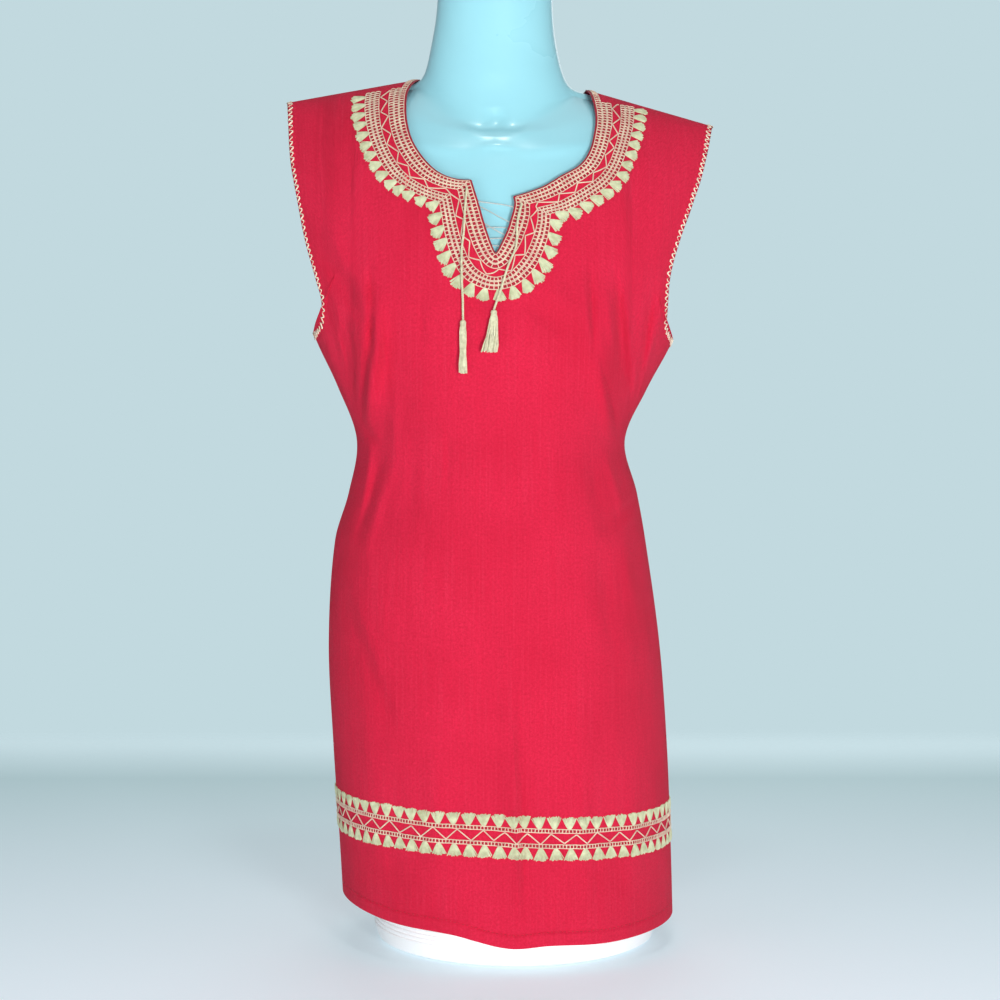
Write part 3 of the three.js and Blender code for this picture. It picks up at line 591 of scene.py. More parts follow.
def neck_places(stations: Array, breadths: Array) -> tuple[Array, Array]:
    """The x and climb on the front between the neckline, breadth 0, and the fans' tips, breadth 1."""
    edge = smooth_through(NECK_EDGE, stations, SLIT_CORNERS)
    tips = smooth_through(NECK_TIPS, stations, SLIT_CORNERS)
    place = mix(edge, tips, np.asarray(breadths, float)[..., None])
    return place[..., 0], np.clip(place[..., 1], None, 1)


def back_neck_places(shares: Array) -> tuple[Array, Array]:
    """The x and climb of the back's neckline, from its left end, 0, to its right one, 1."""
    x = mix(BACK_NECK_LEFT, BACK_NECK_RIGHT, shares)
    drop = BACK_NECK_DROP * np.maximum(np.sin(math.pi * shares), 0) ** 0.8
    seam = shoulder_height(x)
    return x, np.arcsin(np.clip((seam - drop - YOKE) / (seam - YOKE), 0, 1)) * 2 / math.pi


def last_station(armhole: Sequence[ArmholeStop]) -> int:
    """The last station of a panel's outer edge, counted as boundary_places does."""
    return 2 * len(armhole) + YOKE_COLUMNS - 1


def boundary_places(armhole: Sequence[ArmholeStop], stations: Array) -> tuple[Array, Array]:
    """The outer edge of a panel's upper block: down an armhole, along the yoke line and up.

    Args:
        armhole: Its armhole table.
        stations: Places counted in armhole rows and yoke columns.

    Returns:
        Their x and climb.
    """
    rows = len(armhole)
    under = across(np.array([0.0, 1.0]), YOKE)
    left = [(a.left_x, float(climb_at(a.left_x, a.left_z))) for a in armhole] + [(under[0], 0.0)]
    right = [(a.right_x, float(climb_at(a.right_x, a.right_z))) for a in armhole] + [(under[1], 0.0)]
    right.reverse()
    yoke_share = np.clip((stations - rows) / (YOKE_COLUMNS - 1), 0, 1)
    places = np.stack([across(yoke_share, YOKE), np.zeros(len(stations))], axis=-1)
    first_right = rows + YOKE_COLUMNS - 1
    on_left, on_right = stations < rows, stations > first_right
    places[on_left] = smooth_through(np.array(left), stations[on_left])
    places[on_right] = smooth_through(np.array(right), stations[on_right] - first_right)
    return places[:, 0], np.clip(places[:, 1], 0, 1)


def arc_lengths(points: Array) -> Array:
    """The length along a line of points up to each of them."""
    steps = np.linalg.norm(np.diff(points, axis=0), axis=1)
    return np.concatenate([[0.0], np.cumsum(steps)])


def resampled(line: Array, count: int) -> Array:
    """A line of points again, as a count of evenly spaced ones."""
    lengths = arc_lengths(line)
    even = np.linspace(0, lengths[-1], count)
    return np.stack([np.interp(even, lengths, line[:, axis]) for axis in range(3)], axis=-1)


def evenly(places: Callable[[Array], Array], start: float, end: float, pitch: float) -> Array:
    """Parameters from start to end that are a pitch apart along the line which they give.

    Args:
        places: Gives the points of the line for an array of parameters.
        start: The first parameter.
        end: The last parameter.
        pitch: The distance along the line.

    Returns:
        The parameters, both ends included.
    """
    fine = np.linspace(start, end, 1500)
    lengths = arc_lengths(places(fine))
    count = max(2, int(round(lengths[-1] / pitch)) + 1)
    return np.interp(np.linspace(0, lengths[-1], count), lengths, fine)


# ---- node helpers
def fill_inputs(tree: Tree, node: Node, inputs: dict) -> None:
    """Links or sets a node's inputs.

    Args:
        tree: The node's tree.
        node: The node.
        inputs: Values or sockets by input name or number.
    """
    for key, value in inputs.items():
        if isinstance(value, Socket):
            tree.links.new(value, node.inputs[key])
        else:
            node.inputs[key].default_value = value


def add_node(tree: Tree, kind: str, inputs: dict | None = None, **settings: object) -> Node:
    """Adds a shader node, sets its properties, and links or sets its inputs.

    Args:
        tree: The material's or group's node tree.
        kind: The node's type.
        inputs: Values or sockets by input name or number.
        **settings: The node's own properties.

    Returns:
        The node.
    """
    node = tree.nodes.new(kind)
    for name, value in settings.items():
        setattr(node, name, value)
    fill_inputs(tree, node, inputs or {})
    return node


def math_node(tree: Tree, operation: str, *values: object) -> Socket:
    """The output of a Math node over values or sockets."""
    return add_node(tree, "ShaderNodeMath", dict(enumerate(values)), operation=operation).outputs[0]


def mix_colour(tree: Tree, share: object, first: object, second: object) -> Socket:
    """The output of a colour mix; first shows where share is 0."""
    inputs = {0: share, 6: first, 7: second}
    return add_node(tree, "ShaderNodeMix", inputs, data_type="RGBA").outputs[2]


def noise(tree: Tree, place: object, scale: object, **inputs: float) -> Socket:
    """The strength of a noise texture, from 0 to 1.

    Args:
        tree: The material's or group's node tree.
        place: Where it is read.
        scale: How fine it is.
        **inputs: Its other inputs, such as Detail.

    Returns:
        The socket.
    """
    node = add_node(tree, "ShaderNodeTexNoise", {"Vector": place, "Scale": scale, **inputs})
    return node.outputs["Fac"]


def ranged(tree: Tree, value: object, given: tuple, wanted: tuple) -> Socket:
    """A value moved from the range that it has to the range that is wanted."""
    inputs = dict(enumerate((value, *given, *wanted)))
    return add_node(tree, "ShaderNodeMapRange", inputs).outputs[0]


def bumped(tree: Tree, height: object, strength: float, distance: float) -> Socket:
    """The normal of a surface with fine relief; the distance is in metres."""
    inputs = {"Height": height, "Strength": strength, "Distance": distance}
    return add_node(tree, "ShaderNodeBump", inputs).outputs[0]


def srgb(red: int, green: int, blue: int) -> tuple[float, float, float, float]:
    """A linear colour from its screen values."""

    def linear(value: int) -> float:
        """One channel."""
        share = value / 255
        return share / 12.92 if share <= 0.04045 else ((share + 0.055) / 1.055) ** 2.4

    return (linear(red), linear(green), linear(blue), 1.0)


def new_group(name: str, inputs: dict[str, tuple[str, object]], outputs: dict[str, str]) -> Tree:
    """An empty shader node group.

    Args:
        name: Its name.
        inputs: Each input's type and first value, or None where it has none.
        outputs: Each output's type.

    Returns:
        The group, with a node for its inputs and one for its outputs.
    """
    tree = bpy.data.node_groups.new(name, "ShaderNodeTree")
    for label, (kind, value) in inputs.items():
        socket = tree.interface.new_socket(label, in_out="INPUT", socket_type=kind)
        if value is not None:
            socket.default_value = value
    for label, kind in outputs.items():
        tree.interface.new_socket(label, in_out="OUTPUT", socket_type=kind)
    tree.nodes.new("NodeGroupInput")
    tree.nodes.new("NodeGroupOutput")
    return tree


class Effects:
    """Node groups that several finishes share, each built once."""

    WEAVE = "plain weave"
    MOTTLE = "mottled tone"

    @staticmethod
    def weave() -> Tree:
        """Over-and-under threads on a UV map in metres: a height and a shade, each from 0 to 1; the shade
        is painted shade, darker in the hollows between the threads.

        Returns:
            The node group.
        """
        if Effects.WEAVE in bpy.data.node_groups:
            return bpy.data.node_groups[Effects.WEAVE]
        inputs = {"UV": ("NodeSocketVector", None), "Pitch": ("NodeSocketFloat", 0.0006)}
        outputs = {"Height": "NodeSocketFloat", "Shade": "NodeSocketFloat"}
        tree = new_group(Effects.WEAVE, inputs, outputs)
        given, out = tree.nodes["Group Input"], tree.nodes["Group Output"]
        split = add_node(tree, "ShaderNodeSeparateXYZ", {0: given.outputs["UV"]})
        waves, cells = [], []
        for axis in ("X", "Y"):
            place = math_node(tree, "DIVIDE", split.outputs[axis], given.outputs["Pitch"])
            turn = math_node(tree, "MULTIPLY", place, math.pi)
            waves.append(math_node(tree, "ABSOLUTE", math_node(tree, "SINE", turn)))
            cells.append(math_node(tree, "FLOOR", place))
        parity = math_node(tree, "MODULO", math_node(tree, "ADD", cells[0], cells[1]), 2.0)
        over = math_node(tree, "ABSOLUTE", parity)
        under = math_node(tree, "SUBTRACT", 1.0, over)
        height = math_node(
            tree,
            "ADD",
            math_node(tree, "MULTIPLY", waves[0], over),
            math_node(tree, "MULTIPLY", waves[1], under),
        )
        shade = math_node(tree, "MULTIPLY_ADD", height, 0.5, 0.5)
        fill_inputs(tree, out, {"Height": height, "Shade": shade})
        return tree

    @staticmethod
    def mottle() -> Tree:
        """A colour that drifts a little darker and lighter over a surface.

        Returns:
            The node group.
        """
        if Effects.MOTTLE in bpy.data.node_groups:
            return bpy.data.node_groups[Effects.MOTTLE]
        tree = new_group(
            Effects.MOTTLE,
            {
                "Vector": ("NodeSocketVector", None),
                "Colour": ("NodeSocketColor", (0.8, 0.8, 0.8, 1)),
                "Dark": ("NodeSocketColor", (0.4, 0.4, 0.4, 1)),
                "Scale": ("NodeSocketFloat", 40.0),
                "Amount": ("NodeSocketFloat", 0.3),
            },
            {"Colour": "NodeSocketColor", "Value": "NodeSocketFloat"},
        )
        given, out = tree.nodes["Group Input"], tree.nodes["Group Output"]
        value = noise(tree, given.outputs["Vector"], given.outputs["Scale"], Detail=4.0)
        share = ranged(tree, value, (0.3, 0.7), (0.0, given.outputs["Amount"]))
        toned = mix_colour(tree, share, given.outputs["Colour"], given.outputs["Dark"])
        fill_inputs(tree, out, {"Colour": toned, "Value": value})
        return tree


def group_node(tree: Tree, group: Tree, inputs: dict) -> Node:
    """A node that stands for a group, with its inputs linked or set."""
    return add_node(tree, "ShaderNodeGroup", inputs, node_tree=group)


def blank_material(name: str) -> tuple[Material, Tree, Node]:
    """A material with its tree and its Principled BSDF."""
    material = bpy.data.materials.new(name)
    material.use_nodes = True
    tree = material.node_tree
    return material, tree, tree.nodes["Principled BSDF"]


# ---- finishes
@dataclass(frozen=True)
class Finish:
    """A finish of the object, as one material."""

    name: str
    colour: tuple
    dark: tuple

    def build(self) -> Material:
        """Makes the material, once.

        Returns:
            The material.
        """
        if self.name in bpy.data.materials:
            return bpy.data.materials[self.name]
        material, tree, shader = blank_material(self.name)
        self.dress(tree, shader)
        return material

    def dress(self, tree: Tree, shader: Node) -> None:
        """Gives the material its look; each kind of finish has its own."""
        raise NotImplementedError

    def mottled(self, tree: Tree, place: Socket, scale: float, amount: float) -> Node:
        """The finish's colour, drifting towards its darker one."""
        tones = {"Vector": place, "Colour": self.colour, "Dark": self.dark}
        return group_node(tree, Effects.mottle(), {**tones, "Scale": scale, "Amount": amount})


@dataclass(frozen=True)
class Cotton(Finish):
    """Red cotton cloth: a fine plain weave with slubs down its length and a soft sheen."""

    pale: tuple = srgb(243, 74, 106)
    thread_pitch: float = 0.0008
    sheen: float = 0.07

    def dress(self, tree: Tree, shader: Node) -> None:
        """A mottled and streaked colour, with painted shade in the weave's hollows, over a crinkled, worn
        relief.

        Args:
            tree: The material's tree.
            shader: Its Principled BSDF.
        """
        cloth = add_node(tree, "ShaderNodeUVMap", uv_map="cloth").outputs[0]
        mottled = self.mottled(tree, cloth, 9.0, 0.55)
        slubs = noise(tree, self.stretched(tree, cloth, 620.0, 9.0), 1.0, Detail=3.0)
        crinkle = noise(tree, cloth, 380.0, Detail=5.0, Roughness=0.8)
        worn = noise(tree, self.stretched(tree, cloth, 38.0, 16.0), 1.0, Detail=5.0)
        weave = group_node(tree, Effects.weave(), {"UV": cloth, "Pitch": self.thread_pitch})
        hollow = math_node(tree, "SUBTRACT", 1.0, weave.outputs["Shade"])
        slub_share = ranged(tree, slubs, (0.46, 0.8), (0.0, 0.24))
        grain = ranged(tree, crinkle, (0.36, 0.66), (0.0, 0.7))
        streaked = mix_colour(tree, slub_share, mottled.outputs["Colour"], self.pale)
        # Painted shade: the colour darkens where the weave's threads dip.
        weave_shaded = mix_colour(tree, math_node(tree, "MULTIPLY", hollow, 0.4), streaked, self.dark)
        height = math_node(
            tree,
            "ADD",
            math_node(tree, "MULTIPLY", weave.outputs["Height"], 0.5),
            math_node(tree, "MULTIPLY", crinkle, 2.2),
        )
        uneven = math_node(tree, "MULTIPLY_ADD", worn, 9.0, height)
        look = {
            "Base Color": mix_colour(tree, grain, weave_shaded, self.dark),
            "Normal": bumped(tree, uneven, 0.8, 0.0006),
            "Roughness": 0.82,
            "Specular IOR Level": 0.14,
            "Sheen Weight": self.sheen,
            "Sheen Roughness": 0.45,
            "Sheen Tint": srgb(255, 150, 170),
        }
        fill_inputs(tree, shader, look)

    @staticmethod
    def stretched(tree: Tree, place: Socket, wide: float, tall: float) -> Socket:
        """The cloth's UV scaled unevenly across it and down it."""
        inputs = {"Vector": place, "Scale": (wide, tall, 1.0)}
        return add_node(tree, "ShaderNodeMapping", inputs).outputs[0]


@dataclass(frozen=True)
class Thread(Finish):
    """Cotton sewing or embroidery thread: fibrous, matt, uneven in tone."""

    roughness: float = 0.75
    sheen: float = 0.3
    scale: float = 420.0

    def dress(self, tree: Tree, shader: Node) -> None:
        """A mottled colour over fine fibres.

        Args:
            tree: The material's tree.
            shader: Its Principled BSDF.
        """
        place = add_node(tree, "ShaderNodeTexCoord").outputs["Object"]
        fibre = noise(tree, place, 2600.0, Detail=2.0)
        look = {
            "Base Color": self.mottled(tree, place, self.scale, 0.7).outputs["Colour"],
            "Normal": bumped(tree, fibre, 0.5, 0.0003),
            "Roughness": self.roughness,
            "Specular IOR Level": 0.3,
            "Sheen Weight": self.sheen,
            "Sheen Roughness": 0.4,
        }
        fill_inputs(tree, shader, look)


@dataclass(frozen=True)
class MouldedPlastic(Finish):
    """Moulded plastic: smooth, a little uneven, with a clear skin."""

    roughness: float
    coat: float
    ripple: float

    def dress(self, tree: Tree, shader: Node) -> None:
        """A mottled colour and gloss over a faint swell, under a clear coat.

        Args:
            tree: The material's tree.
            shader: Its Principled BSDF.
        """
        place = add_node(tree, "ShaderNodeTexCoord").outputs["Object"]
        mottled = self.mottled(tree, place, 7.0, 0.6)
        swell = noise(tree, place, 16.0, Detail=1.0)
        grain = noise(tree, place, 900.0, Detail=2.0)
        height = math_node(tree, "MULTIPLY_ADD", grain, 0.03, swell)
        rough = (self.roughness * 0.85, self.roughness * 1.2)
        look = {
            "Base Color": mottled.outputs["Colour"],
            "Normal": bumped(tree, height, self.ripple, 0.004),
            "Roughness": ranged(tree, mottled.outputs["Value"], (0.3, 0.7), rough),
            "Coat Weight": self.coat,
            "Coat Roughness": 0.12,
        }
        fill_inputs(tree, shader, look)


COTTON = Cotton("red cotton", srgb(236, 40, 77), srgb(200, 22, 52))
FAN_THREAD = Thread("pale green fan thread", srgb(216, 218, 182), srgb(164, 165, 122), scale=160.0)
LADDER_THREAD = Thread("pinkish cream ladder thread", srgb(230, 210, 184), srgb(198, 156, 138), scale=90.0)
STITCH_THREAD = Thread("bright cream stitch thread", srgb(245, 232, 208), srgb(214, 184, 160), scale=200.0)
CORD_THREAD = Thread("cream cord", srgb(224, 220, 188), srgb(178, 172, 134), scale=300.0)
LACE_THREAD = Thread("pale lacing cord", srgb(214, 216, 210), srgb(160, 170, 172), scale=300.0)
# A darker red laid in the ladders' cells as painted shade.
PAINTED_CELL_SHADE = Thread("red painted cell shade", srgb(178, 26, 50), srgb(150, 18, 40), sheen=0.1)
EDGE_THREAD = Thread("dark red edge thread", srgb(168, 24, 46), srgb(112, 12, 30), sheen=0.15)
SEAM_THREAD = Thread("red sewing thread", srgb(204, 32, 60), srgb(160, 18, 42), sheen=0.15)
FORM_PLASTIC = MouldedPlastic(
    "turquoise plastic", srgb(154, 213, 223), srgb(145, 205, 217), roughness=0.3, coat=0.35, ripple=0.03
)
BASE_PLASTIC = MouldedPlastic(
    "white plastic", srgb(255, 255, 255), srgb(249, 249, 251), roughness=0.5, coat=0.1, ripple=0.05
)


class Slot(Enum):
    """Names of material slots, which nothing in this script uses."""

    COTTON = "cotton"
    EMBROIDERY = "embroidery_thread"
    CORD = "cord"
    FORM = "form_plastic"
    BASE = "base_plastic"


# ---- mesh helpers
def in_scene(name: str, data: bpy.types.ID) -> Object:
    """An object for a mesh, curve, light or camera, linked into the scene."""
    obj = bpy.data.objects.new(name, data)
    bpy.context.scene.collection.objects.link(obj)
    return obj


def mesh_of(bm: bmesh.types.BMesh, name: str, sharp: float | None = None) -> Mesh:
    """A mesh from its working copy, which goes.

    Args:
        bm: The working copy.
        name: The mesh's name.
        sharp: Where given, the mesh is smooth, apart from edges that turn by more degrees.

    Returns:
        The mesh.
    """
    mesh = bpy.data.meshes.new(name)
    bm.to_mesh(mesh)
    bm.free()
    if sharp is not None:
        mesh.shade_smooth()
        mesh.set_sharp_from_angle(angle=math.radians(sharp))
    return mesh


def place_piece(
    name: str,
    mesh: Mesh,
    finish: Finish,
    nodes: Sequence[str] = (),
) -> Object:
    """Puts a finished mesh in the scene as a piece of the object.

    Args:
        name: Its name.
        mesh: Its mesh, in metres, already in place.
        finish: Its finish.
        nodes: The solids that it stands for.

    Returns:
        The object.
    """
    mesh.materials.clear()
    mesh.materials.append(finish.build())
    obj = in_scene(name, mesh)
    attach(obj, "root")
    if nodes:
        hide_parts(*nodes)
    LOG.info("%s: %d faces", name, len(mesh.polygons))
    return obj


def evaluated_mesh(obj: Object) -> Mesh:
    """The mesh of an object with its modifiers or bevel applied; the object goes."""
    depsgraph = bpy.context.evaluated_depsgraph_get()
    depsgraph.update()
    mesh = bpy.data.meshes.new_from_object(obj.evaluated_get(depsgraph))
    bpy.data.objects.remove(obj)
    return mesh


class ThreadWork:
    """Threads, each a line with a thickness, gathered into one mesh."""

    def __init__(self, name: str, resolution: int = 1) -> None:
        """Starts with no threads.

        Args:
            name: The name of the mesh.
            resolution: 0 for four sides to a thread, 1 for six and 2 for eight.
        """
        self.curve = bpy.data.curves.new(name, "CURVE")
        self.curve.dimensions = "3D"
        self.curve.bevel_depth = MM
        self.curve.bevel_resolution = resolution
        self.curve.use_fill_caps = True
        self.curve.twist_mode = "MINIMUM"

    def add(self, points: Array, radius: float | Array, closed: bool = False) -> None:
        """Adds one thread.

        Args:
            points: Its points.
            radius: Its radius, one for all or one for each point.
            closed: Whether it joins its own start.
        """
        spline = self.curve.splines.new("POLY")
        spline.points.add(len(points) - 1)
        flat = np.ones((len(points), 4))
        flat[:, :3] = np.asarray(points) * MM
        spline.points.foreach_set("co", flat.ravel())
        radii = np.broadcast_to(np.asarray(radius, float), (len(points),))
        spline.points.foreach_set("radius", np.array(radii))
        spline.use_cyclic_u = closed
        spline.use_smooth = True

    def mesh(self) -> Mesh:
        """The threads as one mesh."""
        mesh = evaluated_mesh(in_scene(self.curve.name, self.curve))
        bpy.data.curves.remove(self.curve)
        return mesh


def grid_block(
    bm: bmesh.types.BMesh,
    columns: int,
    rows: int,
    place: Callable[[Array, Array], tuple[Array, Array]],
    flip: bool,
) -> None:
    """Adds a grid that is laid on a surface.

    Args:
        bm: The mesh to add it to; it has a UV layer.
        columns: Cells across.
        rows: Cells up.
        place: Gives points in millimetres and UVs in metres for shares across and up.
        flip: Whether its faces are turned over.
    """
    layer = bm.loops.layers.uv.verify()
    made = bmesh.ops.create_grid(bm, x_segments=columns, y_segments=rows, size=0.5)
    verts = made["verts"]
    shares = np.array([(v.co.x, v.co.y) for v in verts]) + 0.5
    shares[:, 0] = np.round(shares[:, 0] * columns) / columns
    shares[:, 1] = np.round(shares[:, 1] * rows) / rows
    points, uvs = place(shares[:, 0], shares[:, 1])
    known = {}
    for vert, point, uv in zip(verts, points * MM, uvs):
        vert.co = point
        known[vert] = uv
    faces = {face for vert in verts for face in vert.link_faces}
    for face in faces:
        for loop in face.loops:
            loop[layer].uv = known[loop.vert]
    if flip:
        bmesh.ops.reverse_faces(bm, faces=list(faces))


@dataclass(frozen=True)
class ClothMap:
    """Lengths across and up the cloth, for patterns that follow it."""

    side: ClothSide
    widths: Array = field(default_factory=lambda: np.linspace(-245, 245, 141))
    climbs: Array = field(default_factory=lambda: np.linspace(-1, 1, 121))

    def tables(self) -> tuple[Array, Array]:
        """Lengths across from x 0, and lengths up, on a grid of x and climb.

        Returns:
            Both, a row for each climb.
        """
        grid = self.side.point(self.widths[None, :], self.climbs[:, None], False)
        steps = np.linalg.norm(np.diff(grid, axis=1), axis=2)
        run = np.concatenate([np.zeros((len(self.climbs), 1)), np.cumsum(steps, axis=1)], axis=1)
        run = run - run[:, [len(self.widths) // 2]]
        rises = np.linalg.norm(np.diff(grid, axis=0), axis=2)
        up = np.concatenate([np.zeros((1, len(self.widths))), np.cumsum(rises, axis=0)], axis=0)
        return run, up

    def read(self, table: Array, x: Array, climb: Array) -> Array:
        """A table's value at x and climb.

        Args:
            table: One of the two tables.
            x: Places across.
            climb: Their climbs.

        Returns:
            The values, read between the grid lines.
        """
        column, beside = self.cell(x, self.widths)
        row, above = self.cell(climb, self.climbs)
        low = mix(table[row, column], table[row, column + 1], beside)
        high = mix(table[row + 1, column], table[row + 1, column + 1], beside)
        return mix(low, high, above)

    @staticmethod
    def cell(place: Array, stops: Array) -> tuple[Array, Array]:
        """The number of the stop before a place, and the share of the way to the next one."""
        number = np.clip(np.interp(place, stops, np.arange(len(stops))), 0, len(stops) - 1.001)
        whole = number.astype(int)
        return whole, number - whole


# ---- the dress's cloth
@dataclass
class ClothPanels:
    """The front and back pieces of the dress, with their seams, rolled neck edge and hem."""

    fine: int = 8  # cells for each station along a panel's outer edge
    skirt_rows: int = 164
    hem_rows: float = 0.15  # the share of the rows that lies in the turned-up hem
    hem_share: float = 0.042  # the share of the skirt's height that it takes up
    neck_rows: int = 16
    chest_rows: int = 36
    shoulders: tuple = ((-221, -84.5), (90.5, 221))  # from x to x along each shoulder seam

    def build(self) -> None:
        """Both pieces and their edges."""
        front = self.panel(FRONT, FRONT_ARMHOLE, self.front_rows)
        back = self.panel(BACK, BACK_ARMHOLE, self.back_rows)
        front_piece = place_piece("front_cloth", front, COTTON, ["front_panel"])
        back_piece = place_piece("back_cloth", back, COTTON, ["back_panel"])
        self.edges()
        self.declare(front_piece, back_piece)

    def front_rows(self, stations: Array, up: Array) -> tuple[Array, Array]:
        """The places of the front's upper block.

        Args:
            stations: Places along its edge.
            up: 0 at the neckline, 1 at the edge.

        Returns:
            Their x and climb.
        """
        turn = self.neck_rows / (self.neck_rows + self.chest_rows)
        edge = np.stack(neck_places(stations, 0.0), axis=-1)
        tips = np.stack(neck_places(stations, 1.0), axis=-1)
        outer = np.stack(boundary_places(FRONT_ARMHOLE, stations), axis=-1)
        inner_share = np.clip(up / turn, 0, 1)[:, None]
        outer_share = np.clip((up - turn) / (1 - turn), 0, 1)[:, None]
        place = mix(mix(edge, tips, inner_share), outer, outer_share)
        return place[:, 0], place[:, 1]

    def back_rows(self, stations: Array, up: Array) -> tuple[Array, Array]:
        """The places of the back's upper block.

        Args:
            stations: Places along its edge.
            up: 0 at the neckline, 1 at the edge.

        Returns:
            Their x and climb.
        """
        neck = np.stack(back_neck_places(stations / last_station(BACK_ARMHOLE)), axis=-1)
        outer = np.stack(boundary_places(BACK_ARMHOLE, stations), axis=-1)
        place = mix(neck, outer, up[:, None])
        return place[:, 0], place[:, 1]

    def panel(
        self,
        side: ClothSide,
        armhole: Sequence[ArmholeStop],
        upper: Callable[[Array, Array], tuple[Array, Array]],
    ) -> Mesh:
        """One piece of cloth, from its hem to its shoulders.

        Args:
            side: The cloth surface.
            armhole: Its armhole table.
            upper: Gives the upper block's x and climb.

        Returns:
            Its mesh, with its thickness.
        """
        cloth_map = ClothMap(side)
        run, rise = cloth_map.tables()

        def laid(x: Array, climb: Array) -> tuple[Array, Array]:
            """Points on the cloth with their UVs."""
            uv = np.stack([cloth_map.read(run, x, climb), cloth_map.read(rise, x, climb)], axis=-1)
            return side.point(x, climb), uv * MM

        def skirt(share: Array, up: Array) -> tuple[Array, Array]:
            """The block below the yoke line."""
            hem = hem_height(across(share, HEM_LINE[0].edge))
            level = mix(hem, YOKE, np.interp(up, (0, self.hem_rows, 1), (0, self.hem_share, 1)))
            return laid(across(share, level), (level - YOKE) / YOKE)

        stations = last_station(armhole)

        def chest(share: Array, up: Array) -> tuple[Array, Array]:
            """The block above it."""
            return laid(*upper(share * stations, 1 - up))

        bm = bmesh.new()
        bm.loops.layers.uv.new("cloth")
        grid_block(bm, (YOKE_COLUMNS - 1) * self.fine, self.skirt_rows, skirt, side is BACK)
        grid_block(bm, stations * self.fine, self.neck_rows + self.chest_rows, chest, side is BACK)
        bmesh.ops.remove_doubles(bm, verts=bm.verts, dist=0.00002)
        return self.thickened(mesh_of(bm, side.name))

    @staticmethod
    def thickened(mesh: Mesh) -> Mesh:
        """The mesh with the cloth's thickness behind it.

        Args:
            mesh: The cloth's outside.

        Returns:
            The closed shell.
        """
        obj = in_scene("cloth", mesh)
        shell = obj.modifiers.new("thickness", "SOLIDIFY")
        shell.thickness = CLOTH_THICKNESS * MM
        shell.offset = -1
        solid = evaluated_mesh(obj)
        solid.shade_smooth()
        solid.set_sharp_from_angle(angle=math.radians(50))
        return solid

    def edges(self) -> None:
        """The rolled neck edge, and the ridges of the side and shoulder seams."""
        roll = ThreadWork("neck_roll")
        stations = np.linspace(0, len(NECK_STATIONS) - 1, 620)
        x, climb = neck_places(stations, 0.0)
        roll.add(FRONT.lifted(x, climb, -0.35), 0.85)
        x, climb = back_neck_places(np.linspace(0, 1, 160))
        roll.add(BACK.lifted(x, climb, -0.35), 0.85)
        place_piece("neck_roll", roll.mesh(), EDGE_THREAD)
        seams = ThreadWork("seams")
        for sign in (0.0, 1.0):
            hem = float(hem_height(across(sign, HEM_LINE[0].edge)))
            level = np.linspace(hem + 1.2, YOKE - 3, 300)
            side = FRONT.point(across(sign, level), (level - YOKE) / YOKE, False)
            side[:, 1] += SEAM_GAP / 2
            side[:, 0] += 0.9 if sign == 0 else -0.9
            seams.add(side, 1.0)
        for start, end in self.shoulders:
            x = np.linspace(start, end, 90)
            ridge = FRONT.point(x, 1.0, False)
            ridge[:, 1] += SEAM_GAP / 2
            ridge[:, 2] -= 0.6
            seams.add(ridge, 0.8)
        place_piece("seam_ridges", seams.mesh(), SEAM_THREAD)
        self.hem_stitches()

    @staticmethod
    def hem_stitches() -> None:
        """The line of small stitches that holds the turned-up hem."""
        work = ThreadWork("hem_stitches", resolution=0)
        chance = random.Random(41)
        for side in (FRONT, BACK):
            for start in np.arange(-164.0, 178.0, 4.2):
                x = start + np.array([0.0, 0.9, 2.0, 2.9])
                level = hem_height(x) + HEM_TURN + chance.uniform(-0.4, 0.4)
                lifts = np.array([-0.5, 0.5, 0.5, -0.5])
                work.add(side.lifted(x, (level - YOKE) / YOKE, lifts), 0.3)
        place_piece("hem_stitches", work.mesh(), SEAM_THREAD)

    @staticmethod
    def declare(front: Object, back: Object) -> None:
        """Takes both pieces and does nothing with them."""


# ---- embroidery
Laid = Callable[[Array, Array | float, Array | float], Array]  # points along a band, across it, lifted


def fan_edges(fine: Array, fans: int) -> Array:
    """The sides and middles of a row of fans, evenly spread over finely spaced stations."""
    places = np.linspace(0, len(fine) - 1, 2 * fans + 1)
    return np.interp(places, np.arange(len(fine)), fine)


